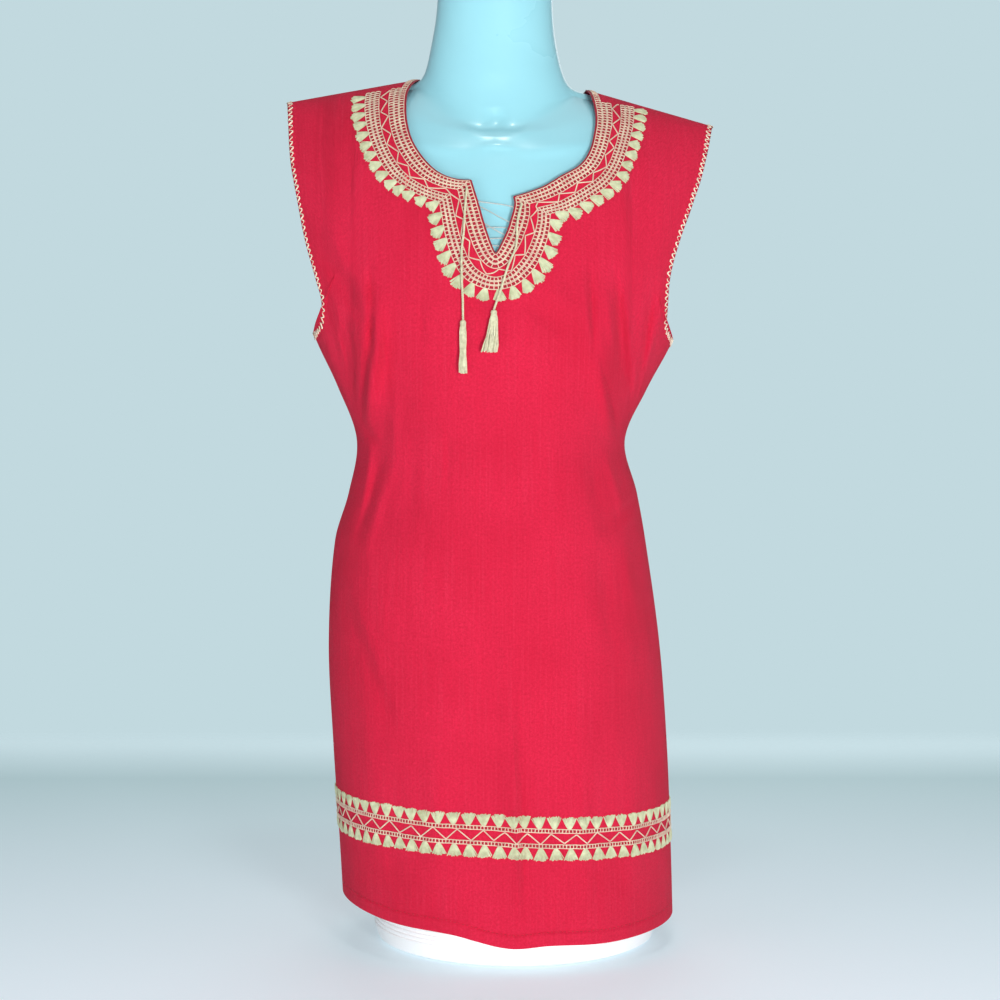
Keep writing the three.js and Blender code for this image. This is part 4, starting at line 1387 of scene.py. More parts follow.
@dataclass
class Ladders:
    """Rows of small square cells between rails, worked along a band."""

    work: ThreadWork
    rail_radius: float = 0.48
    rung_radius: float = 0.55
    pitch: float = 4.0
    chance: random.Random = field(default_factory=lambda: random.Random(7))

    def rungs(self, lifted: Laid, stations: Array, low: float, high: float) -> None:
        """Adds the rungs of one row.

        Args:
            lifted: Gives points by station, breadth and lift.
            stations: Where the rungs stand along the band.
            low: The breadth of the row's inner side.
            high: The breadth of its outer side.
        """
        shares = np.array([0.0, 0.28, 0.72, 1.0])
        lifts = np.array([0.3, 0.8, 0.8, 0.3])
        spacing = float(np.abs(np.diff(stations)).mean())
        for station, square in zip(stations, self.squared(lifted, stations, low, high, spacing)):
            slant = square + self.chance.uniform(-0.12, 0.12) * spacing
            points = lifted(station + slant * shares, mix(low, high, shares), lifts)
            self.work.add(points, self.rung_radius * self.chance.uniform(0.85, 1.12))

    @staticmethod
    def squared(lifted: Laid, stations: Array, low: float, high: float, spacing: float) -> Array:
        """How far along the band each rung's outer end moves, so that the rung crosses it squarely.

        Args:
            lifted: Gives points by station, breadth and lift.
            stations: Where the rungs stand.
            low: The breadth of the row's inner side.
            high: The breadth of its outer side.
            spacing: The stations from rung to rung.

        Returns:
            The moves, in stations.
        """
        inner, outer = (lifted(stations, breadth, 0.0) for breadth in (low, high))
        step = spacing / 4
        onward = lifted(stations + step, low, 0.0) - lifted(stations - step, low, 0.0)
        share = ((outer - inner) * onward).sum(axis=-1) / np.maximum((onward**2).sum(axis=-1), 1e-6)
        return np.clip(-share * 2 * step, -spacing, spacing)

    def rail(self, lifted: Laid, stations: Array, breadth: float, wave: float) -> None:
        """Adds one rail along a band at a breadth, with a slight wave."""
        drift = wave * np.sin(np.arange(len(stations)) * 1.3)
        points = lifted(stations, breadth + drift, 0.55)
        self.work.add(points, self.rail_radius)


def painted_shade_strip(name: str, lifted: Laid, strips: Iterable[tuple[Array, float, float]]) -> None:
    """Painted shade: a darker red strip laid just over the cloth in the cells of the ladders.

    Args:
        name: Its name.
        lifted: Gives points by station, breadth and lift.
        strips: For each strip its stations and the breadths of its two sides.
    """
    bm = bmesh.new()
    bm.loops.layers.uv.new("cloth")
    for stations, low, high in strips:

        def laid(share: Array, up: Array) -> tuple[Array, Array]:
            """Points on one strip with their UVs."""
            place = np.interp(share, np.linspace(0, 1, len(stations)), stations)
            points = lifted(place, mix(low, high, up), 0.14)
            return points, np.stack([share, up], axis=-1)

        grid_block(bm, len(stations) - 1, 6, laid, False)
    place_piece(name, mesh_of(bm, name, sharp=180), PAINTED_CELL_SHADE)


@dataclass(frozen=True)
class Fan:
    """A fan's place: root and tip as x and climb, and half its width at both in millimetres."""

    root: Array
    tip: Array
    root_half: float
    tip_half: float


@dataclass
class SatinFans:
    """Fans of close satin stitches, narrow at the root and wide at a ragged tip."""

    work: ThreadWork
    strands: int = 13
    radius: float = 0.46
    dome: float = 0.9
    roundness: float = 0.17
    chance: random.Random = field(default_factory=lambda: random.Random(11))

    def add(self, side: ClothSide, fan: Fan) -> None:
        """Adds one fan to a side of the dress.

        Args:
            side: The cloth surface.
            fan: The fan's place and widths.
        """
        middle = (fan.root + fan.tip) / 2
        axis = side.point(*fan.tip) - side.point(*fan.root)
        axis /= np.linalg.norm(axis)
        aside = np.cross(axis, side.normal(*middle))
        step = np.array(side.shifted(middle[0], middle[1], aside)) - middle
        shares = np.array([0.0, 0.2, 0.45, 0.7, 0.9, 1.0])
        body = np.sin(math.pi * np.clip(shares * 0.78 + 0.14, 0, 1))
        lean_over = self.chance.uniform(-0.6, 0.6)
        long = self.chance.uniform(0.94, 1.04)
        for number in range(self.strands):
            spread = number / (self.strands - 1) * 2 - 1
            reach = long * (1 - self.roundness * abs(spread) ** 2.2) + self.chance.uniform(-0.06, 0.06)
            half = mix(fan.root_half, fan.tip_half, shares**0.85)
            along_fan = mix(fan.root, fan.tip, (shares * reach)[:, None])
            place = along_fan + step * (half * spread + lean_over * shares)[:, None]
            lifts = 0.3 + self.dome * body * (1 - 0.7 * spread**2)
            lifts = lifts + self.chance.uniform(-0.25, 0.2) * shares
            radius = self.radius * mix(0.8, 1.15, shares) * self.chance.uniform(0.85, 1.15)
            self.work.add(side.lifted(place[:, 0], place[:, 1], lifts), radius)


def zigzag(stops: Array, low: float, high: float, chance: random.Random) -> tuple[Array, Array]:
    """A hand-worked zigzag: straight legs that turn sharply and not quite evenly.

    Args:
        stops: Where its turns stand along the band.
        low: The breadth of every other turn.
        high: The breadth of the turns between.
        chance: Makes it uneven.

    Returns:
        Stations and breadths along the thread.
    """
    spacing = float(np.abs(np.diff(stops)).mean())
    turns = []
    for number, stop in enumerate(stops):
        breadth = (high if number % 2 else low) + chance.uniform(-0.09, 0.09) * (high - low)
        turns.append((stop + chance.uniform(-0.13, 0.13) * spacing, breadth))
    legs = []
    for before, after in zip(np.array(turns), np.array(turns)[1:]):
        legs.append(mix(before, after, np.array([0.045, 0.25, 0.5, 0.75, 0.955])[:, None]))
    track = np.concatenate(legs)
    return track[:, 0], track[:, 1]


@dataclass
class NeckEmbroidery:
    """The band round the neck and slit: ladders, a hand-worked zigzag, ladders and fans."""

    first: float = 0.95
    last: float = 39.1
    fans: int = 44
    fan_root: float = 0.735
    fan_tip: float = 0.985
    widest_fan: float = 12.8
    inner_rows: tuple[float, ...] = (0.03, 0.123, 0.216, 0.309)
    outer_rows: tuple[float, ...] = (0.487, 0.57, 0.652, 0.735)
    zigzag_low: float = 0.33
    zigzag_high: float = 0.468
    zigzag_half_period: float = 11.3

    @staticmethod
    def lifted(stations: Array, breadths: Array, lifts: Array) -> Array:
        """Places over the front, by station, breadth and lift."""
        x, climb = neck_places(np.asarray(stations, float), breadths)
        return FRONT.lifted(x, climb, lifts)

    def stations(
        self, breadth: float, pitch: float, start: float | None = None, end: float | None = None
    ) -> Array:
        """Stations that are a pitch apart at a breadth, all along the band where no ends are given."""
        start = self.first if start is None else start
        end = self.last if end is None else end
        return evenly(lambda s: self.lifted(s, breadth, 0.0), start, end, pitch)

    def build(self) -> None:
        """The threads of the ladders and zigzag, and the fans."""
        lines = ThreadWork("neck_ladder_stitches")
        ladders = Ladders(lines)
        for rows in (self.inner_rows, self.outer_rows):
            stops = self.stations((rows[0] + rows[-1]) / 2, ladders.pitch)
            for low, high in zip(rows, rows[1:]):
                ladders.rungs(self.lifted, stops, low, high)
            for number, breadth in enumerate(rows):
                fine = self.stations(breadth, 2.6)
                inside = 0 < number < len(rows) - 1
                for shift in (-0.01, 0.01) if inside else (0.0,):
                    ladders.rail(self.lifted, fine, breadth + shift, 0.0016)
        self.over_the_shoulders(ladders)
        stops = self.stations((self.zigzag_low + self.zigzag_high) / 2, self.zigzag_half_period)
        turns, breadths = zigzag(stops, self.zigzag_low, self.zigzag_high, random.Random(3))
        turns = np.clip(turns, self.first, self.last)
        lines.add(self.lifted(turns, breadths, 0.55), 0.62)
        bands = (self.inner_rows, self.outer_rows)
        strips = [(self.stations(rows[1], 3.0), rows[0], rows[-1]) for rows in bands]
        # A darker red strip in the ladders' cells: painted shade.
        painted_shade_strip("neck_ladder_ground", self.lifted, strips)
        node = ["neck_embroidery"]
        place_piece("neck_ladder_stitches", lines.mesh(), LADDER_THREAD, node)
        place_piece("neck_fan_stitches", self.fan_work().mesh(), FAN_THREAD, node)

    def over_the_shoulders(self, ladders: Ladders) -> None:
        """The innermost row alone, up to both shoulder seams.

        Args:
            ladders: Takes the stitches.
        """
        low, high = self.inner_rows[:2]
        for start, end in ((0.03, self.first), (self.last, len(NECK_STATIONS) - 1.03)):
            stops = self.stations((low + high) / 2, ladders.pitch, start, end)
            ladders.rungs(self.lifted, stops, low, high)
            for breadth in (low, high):
                ladders.rail(self.lifted, self.stations(breadth, 2.6, start, end), breadth, 0.0)

    def fan_work(self) -> ThreadWork:
        """The fans, evenly spaced along their roots.

        Returns:
            The stitches.
        """
        work = ThreadWork("neck_fan_stitches")
        fans = SatinFans(work)
        edges = fan_edges(self.stations(self.fan_root, 1.0), self.fans)
        root_width, tip_width = (
            np.linalg.norm(np.diff(self.lifted(edges[::2], breadth, 0.0), axis=0), axis=1)
            for breadth in (self.fan_root, 1.0)
        )
        for number in range(self.fans):
            middle = edges[[2 * number + 1]]
            root = np.concatenate(neck_places(middle, np.array([self.fan_root])))
            tip = np.concatenate(neck_places(middle, np.array([self.fan_tip])))
            tip_half = min(0.49 * tip_width[number], self.widest_fan / 2)
            fans.add(FRONT, Fan(root, tip, 0.11 * root_width[number], tip_half))
        return work


@dataclass
class BackNeckRow:
    """The innermost ladder row, which runs on round the back of the neck."""

    width: float = 5.2
    inset: float = 1.7

    def lifted(self, shares: Array, breadths: Array, lifts: Array) -> Array:
        """Places over the back.

        Args:
            shares: Shares of the neckline's length.
            breadths: Shares of the row's width.
            lifts: Heights over the cloth.

        Returns:
            The points.
        """
        x, climb = back_neck_places(np.clip(shares, 0.004, 0.996))
        edge = BACK.point(x, climb, False)
        further = back_neck_places(np.clip(np.asarray(shares) + 0.004, 0.008, 1.0))
        onward = BACK.point(*further, False) - edge
        onward /= np.maximum(np.linalg.norm(onward, axis=-1, keepdims=True), 1e-9)
        away = np.cross(BACK.normal(x, climb), onward)
        distance = (self.inset + self.width * np.asarray(breadths))[..., None]
        x, climb = BACK.shifted(x, climb, away * distance)
        return BACK.lifted(x, np.clip(climb, 0, 0.995), lifts)

    def build(self) -> None:
        """The row as one piece."""
        work = ThreadWork("back_neck_stitches")
        ladders = Ladders(work)
        stops = evenly(lambda s: self.lifted(s, 0.5, 0.0), 0.012, 0.988, ladders.pitch)
        ladders.rungs(self.lifted, stops, 0.0, 1.0)
        for breadth in (0.0, 1.0):
            ladders.rail(self.lifted, np.linspace(0.004, 0.996, 110), breadth, 0.0)
        place_piece("back_neck_stitches", work.mesh(), LADDER_THREAD)


@dataclass
class HemEmbroidery:
    """The border above the hem of one panel: fans, a ladder, a zigzag, a ladder and fans."""

    side: ClothSide
    margin: float = 0.004
    fans: int = 34
    ladder_inner: float = 5.8
    ladder_outer: float = 9.4
    ladder_pitch: float = 3.5
    fan_root: float = 9.9
    fan_reach: float = 21.8
    zigzag_reach: float = 5.0
    zigzag_half_period: float = 12.6

    def places(self, lengths: Array, breadths: Array) -> tuple[Array, Array]:
        """The x and climb by the share of the panel's width and the height from the border's middle."""
        share = mix(self.margin, 1 - self.margin, np.clip(np.asarray(lengths, float), 0, 1))
        middle = along(HEM_LINE, across(share, HEM_LINE[0].border), "border")
        level = middle + np.asarray(breadths, float)
        return across(share, level), (level - YOKE) / YOKE

    def lifted(self, lengths: Array, breadths: Array, lifts: Array) -> Array:
        """Places over the panel, lifted off it."""
        return self.side.lifted(*self.places(lengths, breadths), lifts)

    def stations(self, breadth: float, pitch: float) -> Array:
        """Shares of the width that are a pitch apart at a breadth."""
        return evenly(lambda s: self.lifted(s, breadth, 0.0), 0, 1, pitch)

    def build(self) -> None:
        """The border: the painted shade in its ladders' cells, its lines and its fans."""
        name = f"hem_embroidery_{self.side.name}"
        lines = ThreadWork(f"{name}_ladder_stitches")
        ladders = Ladders(lines, rail_radius=0.5, rung_radius=0.52)
        for sign in (1, -1):
            low, high = sign * self.ladder_inner, sign * self.ladder_outer
            ladders.rungs(self.lifted, self.stations((low + high) / 2, self.ladder_pitch), low, high)
            for breadth in (low, high):
                ladders.rail(self.lifted, self.stations(breadth, 3.0), breadth, 0.12)
        stops = self.stations(0, self.zigzag_half_period)
        turns, breadths = zigzag(stops, -self.zigzag_reach, self.zigzag_reach, random.Random(5))
        lines.add(self.lifted(np.clip(turns, 0, 1), breadths, 0.55), 0.66)
        fans = self.fan_work(f"{name}_fan_stitches")
        stops = self.stations(0, 4.0)
        strips = [(stops, sign * self.ladder_inner, sign * self.ladder_outer) for sign in (1.0, -1.0)]
        # A darker red strip in the ladders' cells: painted shade.
        painted_shade_strip(f"{name}_ladder_ground", self.lifted, strips)
        place_piece(f"{name}_ladder_stitches", lines.mesh(), LADDER_THREAD, [name])
        place_piece(f"{name}_fan_stitches", fans.mesh(), FAN_THREAD, [name])

    def fan_work(self, name: str) -> ThreadWork:
        """The rows of fans above and below the ladders.

        Args:
            name: Its name.

        Returns:
            The stitches.
        """
        work = ThreadWork(name)
        for sign in (1, -1):
            fans = SatinFans(work, roundness=0.09, chance=random.Random(23 + sign))
            clear_of_seams = self.stations(sign * self.fan_root, 1.0)[4:-4]
            edges = fan_edges(clear_of_seams, self.fans)
            ends = self.lifted(edges[::2], sign * self.fan_root, 0.0)
            pitch = float(np.linalg.norm(np.diff(ends, axis=0), axis=1).mean())
            for number in range(self.fans):
                middle = edges[2 * number + 1]
                root = np.array(self.places(middle, sign * self.fan_root))
                tip = np.array(self.places(middle, sign * self.fan_reach))
                fans.add(self.side, Fan(root, tip, 0.1 * pitch, 0.47 * pitch))
        return work


@dataclass
class ArmholeStitches:
    """The cream stitches worked to and fro over both armhole edges."""

    pitch: float = 6.2
    inset: float = 4.8
    radius: float = 0.76

    def build(self) -> None:
        """The stitches of all four half armholes, and the rolled edges under them."""
        work = ThreadWork("armhole_stitches")
        edges = ThreadWork("armhole_edges")
        for side, armhole in ((FRONT, FRONT_ARMHOLE), (BACK, BACK_ARMHOLE)):
            rows, last = len(armhole), last_station(armhole)
            for start, end in ((0.02, rows - 0.02), (last - rows + 0.02, last - 0.02)):
                self.half(work, edges, side, armhole, start, end)
        place_piece("armhole_edges", edges.mesh(), EDGE_THREAD)
        place_piece("armhole_stitches", work.mesh(), STITCH_THREAD)

    def half(
        self,
        work: ThreadWork,
        edges: ThreadWork,
        side: ClothSide,
        armhole: Sequence[ArmholeStop],
        start: float,
        end: float,
    ) -> None:
        """The stitches along one armhole edge of one panel.

        Args:
            work: Takes the stitches.
            edges: Takes the rolled edge under them.
            side: The cloth surface.
            armhole: Its armhole table.
            start: The first place along the panel's outer edge.
            end: The last one.
        """

        def places(stations: Array) -> tuple[Array, Array]:
            """The x and climb along the panel's outer edge."""
            return boundary_places(armhole, stations)

        def edge(stations: Array) -> Array:
            """The points along it."""
            return side.point(*places(stations))

        chance = random.Random(int(start * 10) + side.facing)
        stops = evenly(edge, start, end, self.pitch / 2)
        x, climb = places(stops)
        onward = edge(np.clip(stops + 0.02, start, end)) - edge(np.clip(stops - 0.02, start, end))
        onward /= np.maximum(np.linalg.norm(onward, axis=-1, keepdims=True), 1e-9)
        normal = side.normal(x, climb)
        inward = np.cross(normal, onward)
        middle = side.point(np.full(len(x), -5.0), np.minimum(climb, 0.6), False)
        inward *= np.sign(((middle - side.point(x, climb, False)) * inward).sum(axis=-1, keepdims=True))
        track = []
        for number in range(len(stops)):
            here = side.point(x[number], climb[number])
            if number % 2:
                reach = self.inset * chance.uniform(0.86, 1.08)
                inner = side.shifted(x[number], climb[number], inward[number] * reach)
                top = side.lifted(inner[0], np.clip(inner[1], -1, 0.995), 0.55)
                along_edge = onward[number] * 0.7
                track += [top - along_edge, top + along_edge]
            else:
                out = normal[number] * 0.45
                track += [here + out, here - inward[number] * 0.55 - normal[number] * 0.4, here + out]
        work.add(np.array(track), self.radius)
        rim = places(evenly(edge, start, end, 2.0))
        edges.add(side.lifted(*rim, -0.4), 0.72)


# ---- cords and tassels
class CordStop(NamedTuple):
    """A place that a cord runs over, or how far behind the front's outside it runs there."""

    x: float
    z: float
    behind: float = 0.0


LACE_STOPS = (
    CordStop(-25.5, 767, 3.3),
    CordStop(17, 758.5, 3.3),
    CordStop(18.5, 751, 3.3),
    CordStop(17, 743.5, 3.3),
    CordStop(-26, 762.5, 3.5),
    CordStop(-28, 757, 3.3),
    CordStop(-25, 751.5, 3.3),
    CordStop(9.5, 731.5, 3.3),
    CordStop(13.5, 734.5, 4.4),
    CordStop(11.5, 738.5, 5.4),
    CordStop(-19, 738.5, 5.4),
    CordStop(-22, 734, 5),
    CordStop(-17.5, 729.5, 4.4),
    CordStop(7.5, 728.5, 4.2),
    CordStop(9.5, 725, 3.9),
    CordStop(4.5, 721.5, 3.6),
    CordStop(-11.5, 722.5, 3.4),
)
LEFT_TIE = (
    CordStop(-33, 780),
    CordStop(-35, 757),
    CordStop(-36, 735.5),
    CordStop(-38, 718),
    CordStop(-38, 690.4),
    CordStop(-37, 670),
    CordStop(-36.8, 656),
    CordStop(-36.6, 648),
)
RIGHT_TIE = (
    CordStop(22, 764.5),
    CordStop(18.5, 752),
    CordStop(17, 740),
    CordStop(16, 721),
    CordStop(8, 701),
    CordStop(2, 681.5),
    CordStop(-3, 667),
    CordStop(-6, 658),
)


def on_front(stop: CordStop, out: float) -> Array:
    """A place of the front moved straight forward by a distance."""
    point = FRONT.point(stop.x, climb_at(stop.x, stop.z), False)
    return point - np.array((0, out, 0))


def cord_line(points: Sequence[Array], steps: int) -> Array:
    """Evenly spaced points on the centripetal curve through a cord's points.

    Args:
        points: The points that the cord runs through.
        steps: The number of equal steps.

    Returns:
        The points of the curve, both ends included.
    """
    knots = [2 * points[0] - points[1], *points, 2 * points[-1] - points[-2]]
    fine = []
    for number in range(len(points) - 1):
        p0, p1, p2, p3 = knots[number : number + 4]
        t0 = max(np.linalg.norm(p1 - p0) ** 0.5, 1e-4)
        t1 = max(np.linalg.norm(p2 - p1) ** 0.5, 1e-4)
        t2 = max(np.linalg.norm(p3 - p2) ** 0.5, 1e-4)
        slope_low = ((p1 - p0) / t0 - (p2 - p0) / (t0 + t1) + (p2 - p1) / t1) * t1
        slope_high = ((p2 - p1) / t1 - (p3 - p1) / (t1 + t2) + (p3 - p2) / t2) * t1
        for share in np.linspace(0, 1, 24, endpoint=False):
            fine.append(hermite(share, p1, p2, slope_low, slope_high))
    fine.append(points[-1])
    return resampled(np.array(fine), steps + 1)


@dataclass(frozen=True)
class TwistedCord:
    """A cord of twisted plies along a line."""

    name: str
    node: str
    diameter: float
    plies: int
    lay_length: float
    fineness: float = 0.6

    def build(self, line: Array, finish: Thread) -> Object:
        """The cord, its plies wound round each other.

        Args:
            line: The middle line.
            finish: The cord's finish.

        Returns:
            The piece.
        """
        work = ThreadWork(self.name)
        ply = self.diameter / 2 / (1 + 1 / math.sin(math.pi / self.plies))
        orbit = self.diameter / 2 - ply
        length = arc_lengths(line)[-1]
        path = resampled(line, int(length / self.fineness))
        even = np.linspace(0, length, len(path))
        tangents = np.gradient(path, axis=0)
        tangents /= np.linalg.norm(tangents, axis=1, keepdims=True)
        aside = np.cross(tangents, np.array((0.0, -1.0, 0.12)))
        aside /= np.linalg.norm(aside, axis=1, keepdims=True)
        outward = np.cross(aside, tangents)
        for number in range(self.plies):
            turn = even / self.lay_length * 2 * math.pi + number * 2 * math.pi / self.plies
            offset = aside * np.cos(turn)[:, None] + outward * np.sin(turn)[:, None]
            work.add(path + offset * orbit, ply)
        return place_piece(self.name, work.mesh(), finish, [self.node])


@dataclass(frozen=True)
class Tassel:
    """A tassel: a wound head over a skirt of fine strands."""

    name: str
    node: str
    length: float
    head_length: float
    head_radius: float
    top_radius: float
    bottom_radius: float
    drift: float
    flatness: float
    strands: int
    seed: int
    strand_radius: float

    def out(self) -> float:
        """How far in front of the cloth its middle lies."""
        return max(self.head_radius, self.bottom_radius * self.flatness) + 2.2

    def build(self, top: Array) -> Object:
        """The tassel, hanging from a point.

        Args:
            top: The point.

        Returns:
            The piece.
        """
        chance = random.Random(self.seed)
        work = ThreadWork(self.name)
        self.add_head(work, top)
        for number in range(self.strands):
            angle = number * GOLDEN_ANGLE
            share = math.sqrt((number + 0.5) / self.strands)
            self.add_strand(work, top, angle, share, chance)
        return place_piece(self.name, work.mesh(), CORD_THREAD, [self.node])

    def add_head(self, work: ThreadWork, top: Array) -> None:
        """The head: a core, its windings and the tight turns under it.

        Args:
            work: Takes the thread.
            top: The head's upper end.
        """
        drops = np.array([0.0, 0.1, 0.3, 0.6, 0.9, 1.0]) * self.head_length
        widths = np.array([0.3, 0.66, 0.86, 0.8, 0.74, 0.7]) * self.head_radius
        core = np.stack([np.zeros(6), np.zeros(6), -drops], axis=-1) + top
        work.add(core, widths)
        turns = 9
        angle = np.linspace(0, turns * 2 * math.pi, turns * 12)
        fall = np.linspace(0.07, 0.97, len(angle))
        width = np.interp(fall * self.head_length, drops, widths)
        coil = np.stack([np.cos(angle) * width, np.sin(angle) * width, -fall * self.head_length], axis=-1)
        work.add(coil + top, 0.45)

    def add_strand(
        self, work: ThreadWork, top: Array, angle: float, share: float, chance: random.Random
    ) -> None:
        """One strand from inside the head to its own ragged end.

        Args:
            work: Takes the strand.
            top: The tassel's top.
            angle: The strand's direction from the tassel's middle.
            share: How far out it hangs, from 0 to 1.
            chance: Makes it uneven.
        """
        end = self.length - 0.8 - chance.uniform(0, 3.4)
        falls = np.array([0.0, 0.12, 0.3, 0.55, 0.8, 1.0])
        start = self.head_length * 0.75
        drops = mix(start, end, falls)
        radii = np.interp(
            drops,
            [start, mix(self.head_length, end, 0.3), end],
            [self.head_radius * 0.78, self.top_radius, self.bottom_radius],
        )
        wander = chance.uniform(-0.7, 0.7) * falls + 0.5 * np.sin(falls * 9 + angle * 3)
        turn = angle + chance.uniform(-0.3, 0.3) * falls
        x = np.clip(np.cos(turn) * radii * share + wander, -self.bottom_radius, self.bottom_radius)
        x = x + self.drift * (drops / end) ** 2
        y = np.sin(turn) * radii * share * self.flatness
        points = np.stack([x, y, -drops], axis=-1) + top
        work.add(points, self.strand_radius * chance.uniform(0.85, 1.15))


LEFT_TASSEL = Tassel("left_tassel", "tassel_left", 54, 8.5, 3.3, 3.1, 3.8, 0, 0.9, 40, 31, 0.55)
RIGHT_TASSEL = Tassel("right_tassel", "tassel_right", 43, 7, 3.3, 5.0, 8.6, -5, 0.6, 46, 37, 0.68)


@dataclass
class Lacing:
    """The cord laced over the slit, the two ties that hang from it and their tassels."""

    out: float = 3.7  # from the cloth to the middle of a tie
    lace_diameter: float = 1.4
    tie_diameter: float = 2.4

    def build(self) -> None:
        """Every cord and tassel."""
        line = cord_line([on_front(stop, -stop.behind) for stop in LACE_STOPS], 110)
        cord = TwistedCord("lace_cord", "lace_crossing", self.lace_diameter, 2, 4.2)
        lace = cord.build(line, LACE_THREAD)
        self.declare(lace, line, self.lace_diameter, "object", "taut", [])
        for name, node, stops, tassel in (
            ("left_tie_cord", "tie_left", LEFT_TIE, LEFT_TASSEL),
            ("right_tie_cord", "tie_right", RIGHT_TIE, RIGHT_TASSEL),
        ):
            points = [on_front(stop, self.out) for stop in stops[:-1]]
            points.append(on_front(stops[-1], tassel.out()))
            line = cord_line(points, 26)
            hung = tassel.build(points[-1] - np.array((0, 0, 0.4)))
            tie = TwistedCord(name, node, self.tie_diameter, 3, 6.5).build(line, CORD_THREAD)
            self.declare(tie, line, self.tie_diameter, "knot", "hanging", [hung])

    @staticmethod
    def declare(
        piece: Object,
        line: Array,
        diameter: float,
        far_end: str,
        lay: str,
        hung: list[Object],
    ) -> None:
        """Works out a cord's length and keeps nothing of it.

        Args:
            piece: The cord; not used.
            line: Its middle line.
            diameter: Its thickness; not used.
            far_end: What its far end is fastened to; not used.
            lay: How it lies; not used.
            hung: What hangs from it; not used.
        """
        float(arc_lengths(line)[-1]) * MM


# ---- the dress form
class HipRing(NamedTuple):
    """A level ring of the form below the yoke line."""

    z: float
    half: float
    centre: float
    front: float
    back: float


class ShoulderRing(NamedTuple):
    """A ring over the chest: half width, turns at its sides, front and back, and clearance."""

    half: float
    side: float
    front: float
    back: float
    clear: float


class NeckRing(NamedTuple):
    """A ring of the neck: half width and middle, depths, heights in front, behind and beside."""

    half: float
    centre: float
    front: float
    back: float
    front_z: float
    back_z: float
    side_z: float


HIP_RINGS = (
    HipRing(250, 118, -6, 84, 80),
    HipRing(262, 138, -6, 98, 94),
    HipRing(330, 152, -8, 112, 104),
    HipRing(420, 150, -9, 112, 102),
    HipRing(480, 138, -9.5, 108, 92),
    HipRing(525, 127, -9.7, 105, 84),
    HipRing(580, 142, -8.5, 112, 88),
)
SHOULDER_RINGS = (
    ShoulderRing(158, 0, 0, 0, 6),
    ShoulderRing(166, 0.14, 0.14, 0.14, 6),
    ShoulderRing(179, 0.26, 0.25, 0.25, 8.5),
    ShoulderRing(197, 0.38, 0.35, 0.36, 8),
    ShoulderRing(208, 0.5, 0.42, 0.44, 8),
    ShoulderRing(210, 0.62, 0.465, 0.5, 8),
    ShoulderRing(205, 0.76, 0.495, 0.55, 7),
    ShoulderRing(196, 0.93, 0.52, 0.59, 6),
    ShoulderRing(180, 1, 0.54, 0.62, 6.3),
    ShoulderRing(150, 1, 0.555, 0.645, 6.8),
    ShoulderRing(113, 1, 0.57, 0.67, 9),
    ShoulderRing(88, 1, 0.58, 0.69, 9.5),
)
NECK_RINGS = (
    NeckRing(78, -4, 58, 42, 858, 886, 890),
    NeckRing(72, -5, 53.5, 43, 872, 898, 901),
    NeckRing(68, -6, 50.5, 45, 892, 915, 918),
    NeckRing(64, -6, 49, 47, 922, 935, 937),
    NeckRing(61, -5.5, 48.5, 49, 952, 958, 960),
    NeckRing(59, -5, 49, 50, 990, 990, 990),
)
# Dents and rises of the form's front, as the cloth's folds are given: the notch between the
# collarbones, its lip, the collarbones and the long hollows beside the neck's middle.
FORM_RELIEF = (
    Fold(-4, 900, -4, 836, 15, -2.2),
    Fold(-4, 866, -4, 834, 10, -3.6),
    Fold(-42, 849, -17, 830, 4.5, 1.9),
    Fold(-22, 824, 15, 824, 4.5, 2.2),
    Fold(9, 830, 34, 849, 4.5, 1.9),
    Fold(-12, 816, -118, 830, 8, 2.4),
    Fold(4, 816, 118, 830, 8, 2.4),
)


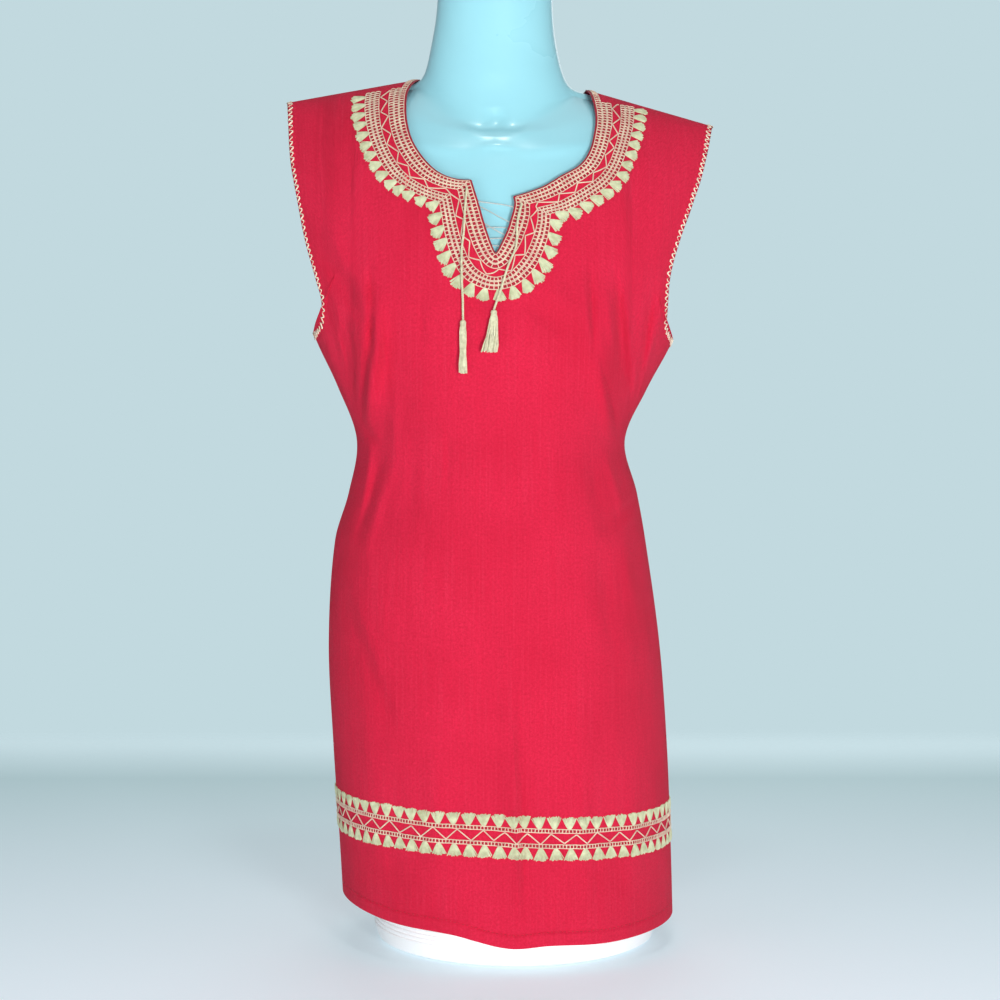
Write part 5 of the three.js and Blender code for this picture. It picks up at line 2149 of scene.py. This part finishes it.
@dataclass
class DressForm:
    """The limbless form that carries the dress, and its round foot."""

    columns: int = 160
    rows_between: int = 9
    back_extra: float = 7.4
    ridge_clearance: float = 3.0
    base_radius: float = 149.0
    base_height: float = 62.0
    base_ridges: int = 9
    base_x: float = 16.0
    column_radius: float = 62.0
    torso_bottom: float = 250.0

    def build(self) -> None:
        """The torso and the foot."""
        place_piece("dress_form", self.torso(), FORM_PLASTIC, ["form_torso"])
        place_piece("dress_form_foot", self.foot(), BASE_PLASTIC, ["form_base"])

    @staticmethod
    def reach(angle: Array) -> Array:
        """The share of a ring's half width at an angle round it."""
        return np.sign(np.sin(angle)) * np.abs(np.sin(angle)) ** (2 / SECTION_POWER)

    def hip_point(self, ring: HipRing, angle: Array) -> Array:
        """A level ring's points."""
        depth = np.where(np.cos(angle) > 0, ring.front, ring.back)
        x = ring.centre + ring.half * self.reach(angle)
        return np.stack([x, -depth * np.cos(angle), ring.z - lean(ring.z) * x], axis=-1)

    def shoulder_point(self, ring: ShoulderRing, angle: Array) -> Array:
        """A ring under the cloth, closest to it along the shoulder seams.

        Args:
            ring: The ring's row in the table.
            angle: Directions round it, 0 to the front.

        Returns:
            Its points.
        """
        turn = mix(np.where(np.cos(angle) > 0, ring.front, ring.back), ring.side, np.sin(angle) ** 2)
        x = float(along(SECTIONS, YOKE, "centre")) + 3 * turn + ring.half * self.reach(angle)
        points = np.zeros((len(angle), 3))
        for side in (FRONT, BACK):
            here = (np.cos(angle) > 0) if side is FRONT else (np.cos(angle) <= 0)
            plain = ClothSide(side.name, side.facing, side.rounding, (), ())
            extra = self.back_extra * turn if side is BACK else 0 * turn
            clear = mix(ring.clear + extra, self.ridge_clearance, np.clip((turn - 0.94) / 0.06, 0, 1))
            normal = plain.normal(x, turn)
            flat = turn > 0.98
            normal[flat, 1] = 0
            normal /= np.linalg.norm(normal, axis=1, keepdims=True)
            placed = plain.point(x, turn, False) - normal * clear[:, None]
            points[here] = placed[here]
        return points

    @staticmethod
    def neck_point(ring: NeckRing, angle: Array) -> Array:
        """A neck ring's points."""
        depth = np.where(np.cos(angle) > 0, ring.front, ring.back)
        x = ring.centre + ring.half * np.sin(angle)
        z = mix(np.where(np.cos(angle) > 0, ring.front_z, ring.back_z), ring.side_z, np.sin(angle) ** 2)
        return np.stack([x, -depth * np.cos(angle), z - lean(z) * x], axis=-1)

    def torso(self) -> Mesh:
        """The form as one smooth closed body.

        Returns:
            The mesh.
        """
        angle = np.arange(self.columns) / self.columns * 2 * math.pi
        rings = [self.hip_point(ring, angle) for ring in HIP_RINGS]
        rings += [self.shoulder_point(ring, angle) for ring in SHOULDER_RINGS]
        rings += [self.neck_point(ring, angle) for ring in NECK_RINGS]
        stack = np.array(rings)
        rows = np.linspace(0, len(stack) - 1, (len(stack) - 1) * self.rows_between + 1)
        fine = smooth_through(stack.reshape(len(stack), -1), rows).reshape(len(rows), self.columns, 3)
        fine = self.softened(fine, rows)
        shown = np.clip(-fine[..., 1] / 40, 0, 1)
        fine[..., 1] -= shown * FRONT.rise(fine[..., 0], fine[..., 2], FORM_RELIEF)
        bm = bmesh.new()
        loops = []
        for ring in fine:
            verts = [bm.verts.new(point) for point in ring * MM]
            loops.append([bm.edges.new(pair) for pair in zip(verts, verts[1:] + verts[:1])])
        for low, high in zip(loops, loops[1:]):
            bmesh.ops.bridge_loops(bm, edges=low + high)
        for loop, rise in ((loops[0], 0.0), (loops[-1], 3.0)):
            made = bmesh.ops.contextual_create(bm, geom=loop)
            if rise:
                bmesh.ops.inset_region(bm, faces=made["faces"], thickness=0.02)
                bmesh.ops.translate(bm, verts=made["faces"][0].verts, vec=(0, 0, rise * MM))
        bmesh.ops.recalc_face_normals(bm, faces=bm.faces)
        return mesh_of(bm, "dress_form", sharp=60)

    @staticmethod
    def averaged(rings: Array, reach: int) -> Array:
        """The rings, each averaged with those up to a reach of rows away."""
        weights = np.exp(-(np.linspace(-2, 2, 2 * reach + 1) ** 2))
        weights /= weights.sum()
        padded = np.pad(rings, ((reach, reach), (0, 0), (0, 0)), mode="edge")
        return sum(weight * padded[n : n + len(rings)] for n, weight in enumerate(weights))

    def softened(self, rings: Array, rows: Array) -> Array:
        """The rings evened over the chest, and rounded out between the shoulders and the neck.

        Args:
            rings: Finely spaced rings.
            rows: The place of each among the rings of the tables.

        Returns:
            The rings again, softened.
        """

        def eased(share: Array) -> Array:
            """A share that starts and ends gently."""
            share = np.clip(share, 0, 1)
            return share * share * (3 - 2 * share)

        root = len(HIP_RINGS) + len(SHOULDER_RINGS)
        light = eased((rows - len(HIP_RINGS) + 1) / 1.5) * eased((rows[-1] - rows) / 1.5)
        rings = mix(rings, self.averaged(rings, 9), light[:, None, None])
        heavy = eased((rows - root + 4) / 3) * eased((root + 4 - rows) / 2)
        return mix(rings, self.averaged(rings, 21), heavy[:, None, None])

    def foot(self) -> Mesh:
        """The round foot: a drum with fine ridges, and the column up to the form.

        Returns:
            The mesh.
        """
        outer, groove = self.base_radius, self.base_radius - 0.8
        profile = [(0, 0), (outer - 12, 0), (outer - 4, 4), (groove, 14)]
        step = (self.base_height - 22) / self.base_ridges
        for ridge in range(self.base_ridges):
            height = mix(16, self.base_height - 6, ridge / self.base_ridges)
            profile += [
                (groove, height),
                (outer, height + step * 0.25),
                (outer, height + step * 0.6),
                (groove, height + step * 0.8),
            ]
        profile += [
            (outer - 1, self.base_height - 4),
            (outer - 4, self.base_height),
            (self.column_radius + 8, self.base_height + 4),
            (self.column_radius, self.base_height + 12),
            (self.column_radius, self.torso_bottom - 0.3),
            (0, self.torso_bottom - 0.3),
        ]
        bm = bmesh.new()
        verts = [bm.verts.new((self.base_x * MM + r * MM, 0, h * MM)) for r, h in profile]
        edges = [bm.edges.new(pair) for pair in zip(verts, verts[1:])]
        bmesh.ops.spin(
            bm,
            geom=verts + edges,
            cent=(self.base_x * MM, 0, 0),
            axis=(0, 0, 1),
            angle=2 * math.pi,
            steps=144,
            use_merge=True,
        )
        bmesh.ops.remove_doubles(bm, verts=bm.verts, dist=0.00001)
        bmesh.ops.recalc_face_normals(bm, faces=bm.faces)
        return mesh_of(bm, "foot", sharp=40)


# ---- the studio
@dataclass(frozen=True)
class Lamp:
    """A square soft light that faces the dress."""

    name: str
    place: tuple[float, float, float]
    size: float
    power: float

    def build(self) -> None:
        """The light, turned to the dress."""
        data = bpy.data.lights.new(self.name, "AREA")
        data.size = self.size
        data.energy = self.power
        lamp = in_scene(self.name, data)
        lamp.location = self.place
        toward = Vector((0, 0, 0.55)) - Vector(self.place)
        lamp.rotation_euler = toward.to_track_quat("-Z", "Y").to_euler()


@dataclass
class Studio:
    """A pale floor that ends behind the dress, soft lights and the camera."""

    distance: float = 2.4
    height: float = 0.6
    pitch_down: float = 3.3
    lens: float = 82.3
    background: tuple = srgb(194, 217, 223)
    surround: tuple = srgb(214, 224, 230)
    surround_strength: float = 0.4
    floor_end: float = 1.1
    # The floor's glow and the graded tones below are painted light: glare to the front, a darker band, a
    # bright band at the far end.
    floor_glow: float = 0.4
    floor_tones: tuple[tuple[float, tuple], ...] = (
        (0.0, srgb(226, 236, 243)),
        (0.45, srgb(196, 212, 218)),
        (0.8, srgb(170, 194, 198)),
        (0.97, srgb(203, 224, 229)),
    )
    lamps: tuple[Lamp, ...] = (
        Lamp("key", (0.75, -2.55, 0.35), 0.35, 43),
        Lamp("fill", (-2.0, -1.8, 0.25), 1.2, 16),
        Lamp("front", (-0.2, -2.6, 0.3), 0.7, 8),
        Lamp("spark", (0.05, -0.8, 2.3), 0.2, 4),
        Lamp("top", (0.1, 0.5, 2.5), 1.6, 6),
        Lamp("back", (0.3, 2.3, 1.6), 2.0, 14),
    )

    def build(self) -> None:
        """Everything round the object."""
        self.camera()
        self.floor()
        self.world()
        for lamp in self.lamps:
            lamp.build()
        bpy.context.scene.view_settings.view_transform = "Standard"

    def camera(self) -> None:
        """The camera, level with the hips and tipped a little down."""
        data = bpy.data.cameras.new("camera")
        data.lens = self.lens
        data.sensor_width = 36
        data.clip_end = 50
        camera = in_scene("camera", data)
        camera.location = (0, -self.distance, self.height)
        camera.rotation_euler = (math.radians(90 - self.pitch_down), 0, 0)
        bpy.context.scene.camera = camera

    def floor(self) -> None:
        """A round floor that glows a little, paler to the front, darker further back and paler again along
        its far end, where it meets the background; these tones and the glow are painted light.
        """
        bm = bmesh.new()
        bmesh.ops.create_circle(bm, cap_ends=True, segments=96, radius=6)
        mesh = mesh_of(bm, "floor")
        material, tree, shader = blank_material("pale floor with painted light")
        place = add_node(tree, "ShaderNodeTexCoord").outputs["Object"]
        back = add_node(tree, "ShaderNodeSeparateXYZ", {0: place}).outputs["Y"]
        fade = add_node(
            tree,
            "ShaderNodeMapRange",
            {0: back, 1: self.floor_end, 2: self.floor_end + 0.3, 3: 1.0, 4: 0.0},
            interpolation_type="SMOOTHSTEP",
        )
        ramp = add_node(tree, "ShaderNodeValToRGB", {0: ranged(tree, back, (-0.6, 1.3), (0.0, 1.0))})
        marks = ramp.color_ramp.elements
        for number, (stop, tone) in enumerate(self.floor_tones):
            mark = marks[number] if number < 2 else marks.new(stop)
            mark.position = stop
            mark.color = tone
        look = {
            "Base Color": ramp.outputs[0],
            "Emission Color": ramp.outputs[0],
            "Emission Strength": self.floor_glow,
            "Alpha": fade.outputs[0],
            "Roughness": 0.7,
        }
        fill_inputs(tree, shader, look)
        mesh.materials.append(material)
        floor = in_scene("floor", mesh)

    def world(self) -> None:
        """A pale background, and a fainter even light from all round."""
        world = bpy.data.worlds.new("studio")
        bpy.context.scene.world = world
        world.use_nodes = True
        tree = world.node_tree
        seen = tree.nodes["Background"]
        fill_inputs(tree, seen, {"Color": self.background, "Strength": 1.0})
        around = {"Color": self.surround, "Strength": self.surround_strength}
        light = add_node(tree, "ShaderNodeBackground", around).outputs[0]
        path = add_node(tree, "ShaderNodeLightPath").outputs["Is Camera Ray"]
        both = add_node(tree, "ShaderNodeMixShader", {0: path, 1: light, 2: seen.outputs[0]})
        fill_inputs(tree, tree.nodes["World Output"], {"Surface": both.outputs[0]})


def main() -> None:
    """Builds every piece in order."""
    logging.basicConfig(level=logging.INFO, format="%(message)s")
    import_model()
    Studio().build()
    Lacing().build()
    ClothPanels().build()
    NeckEmbroidery().build()
    BackNeckRow().build()
    for side in (FRONT, BACK):
        HemEmbroidery(side).build()
    ArmholeStitches().build()
    DressForm().build()


if __name__ == "__main__":
    main()
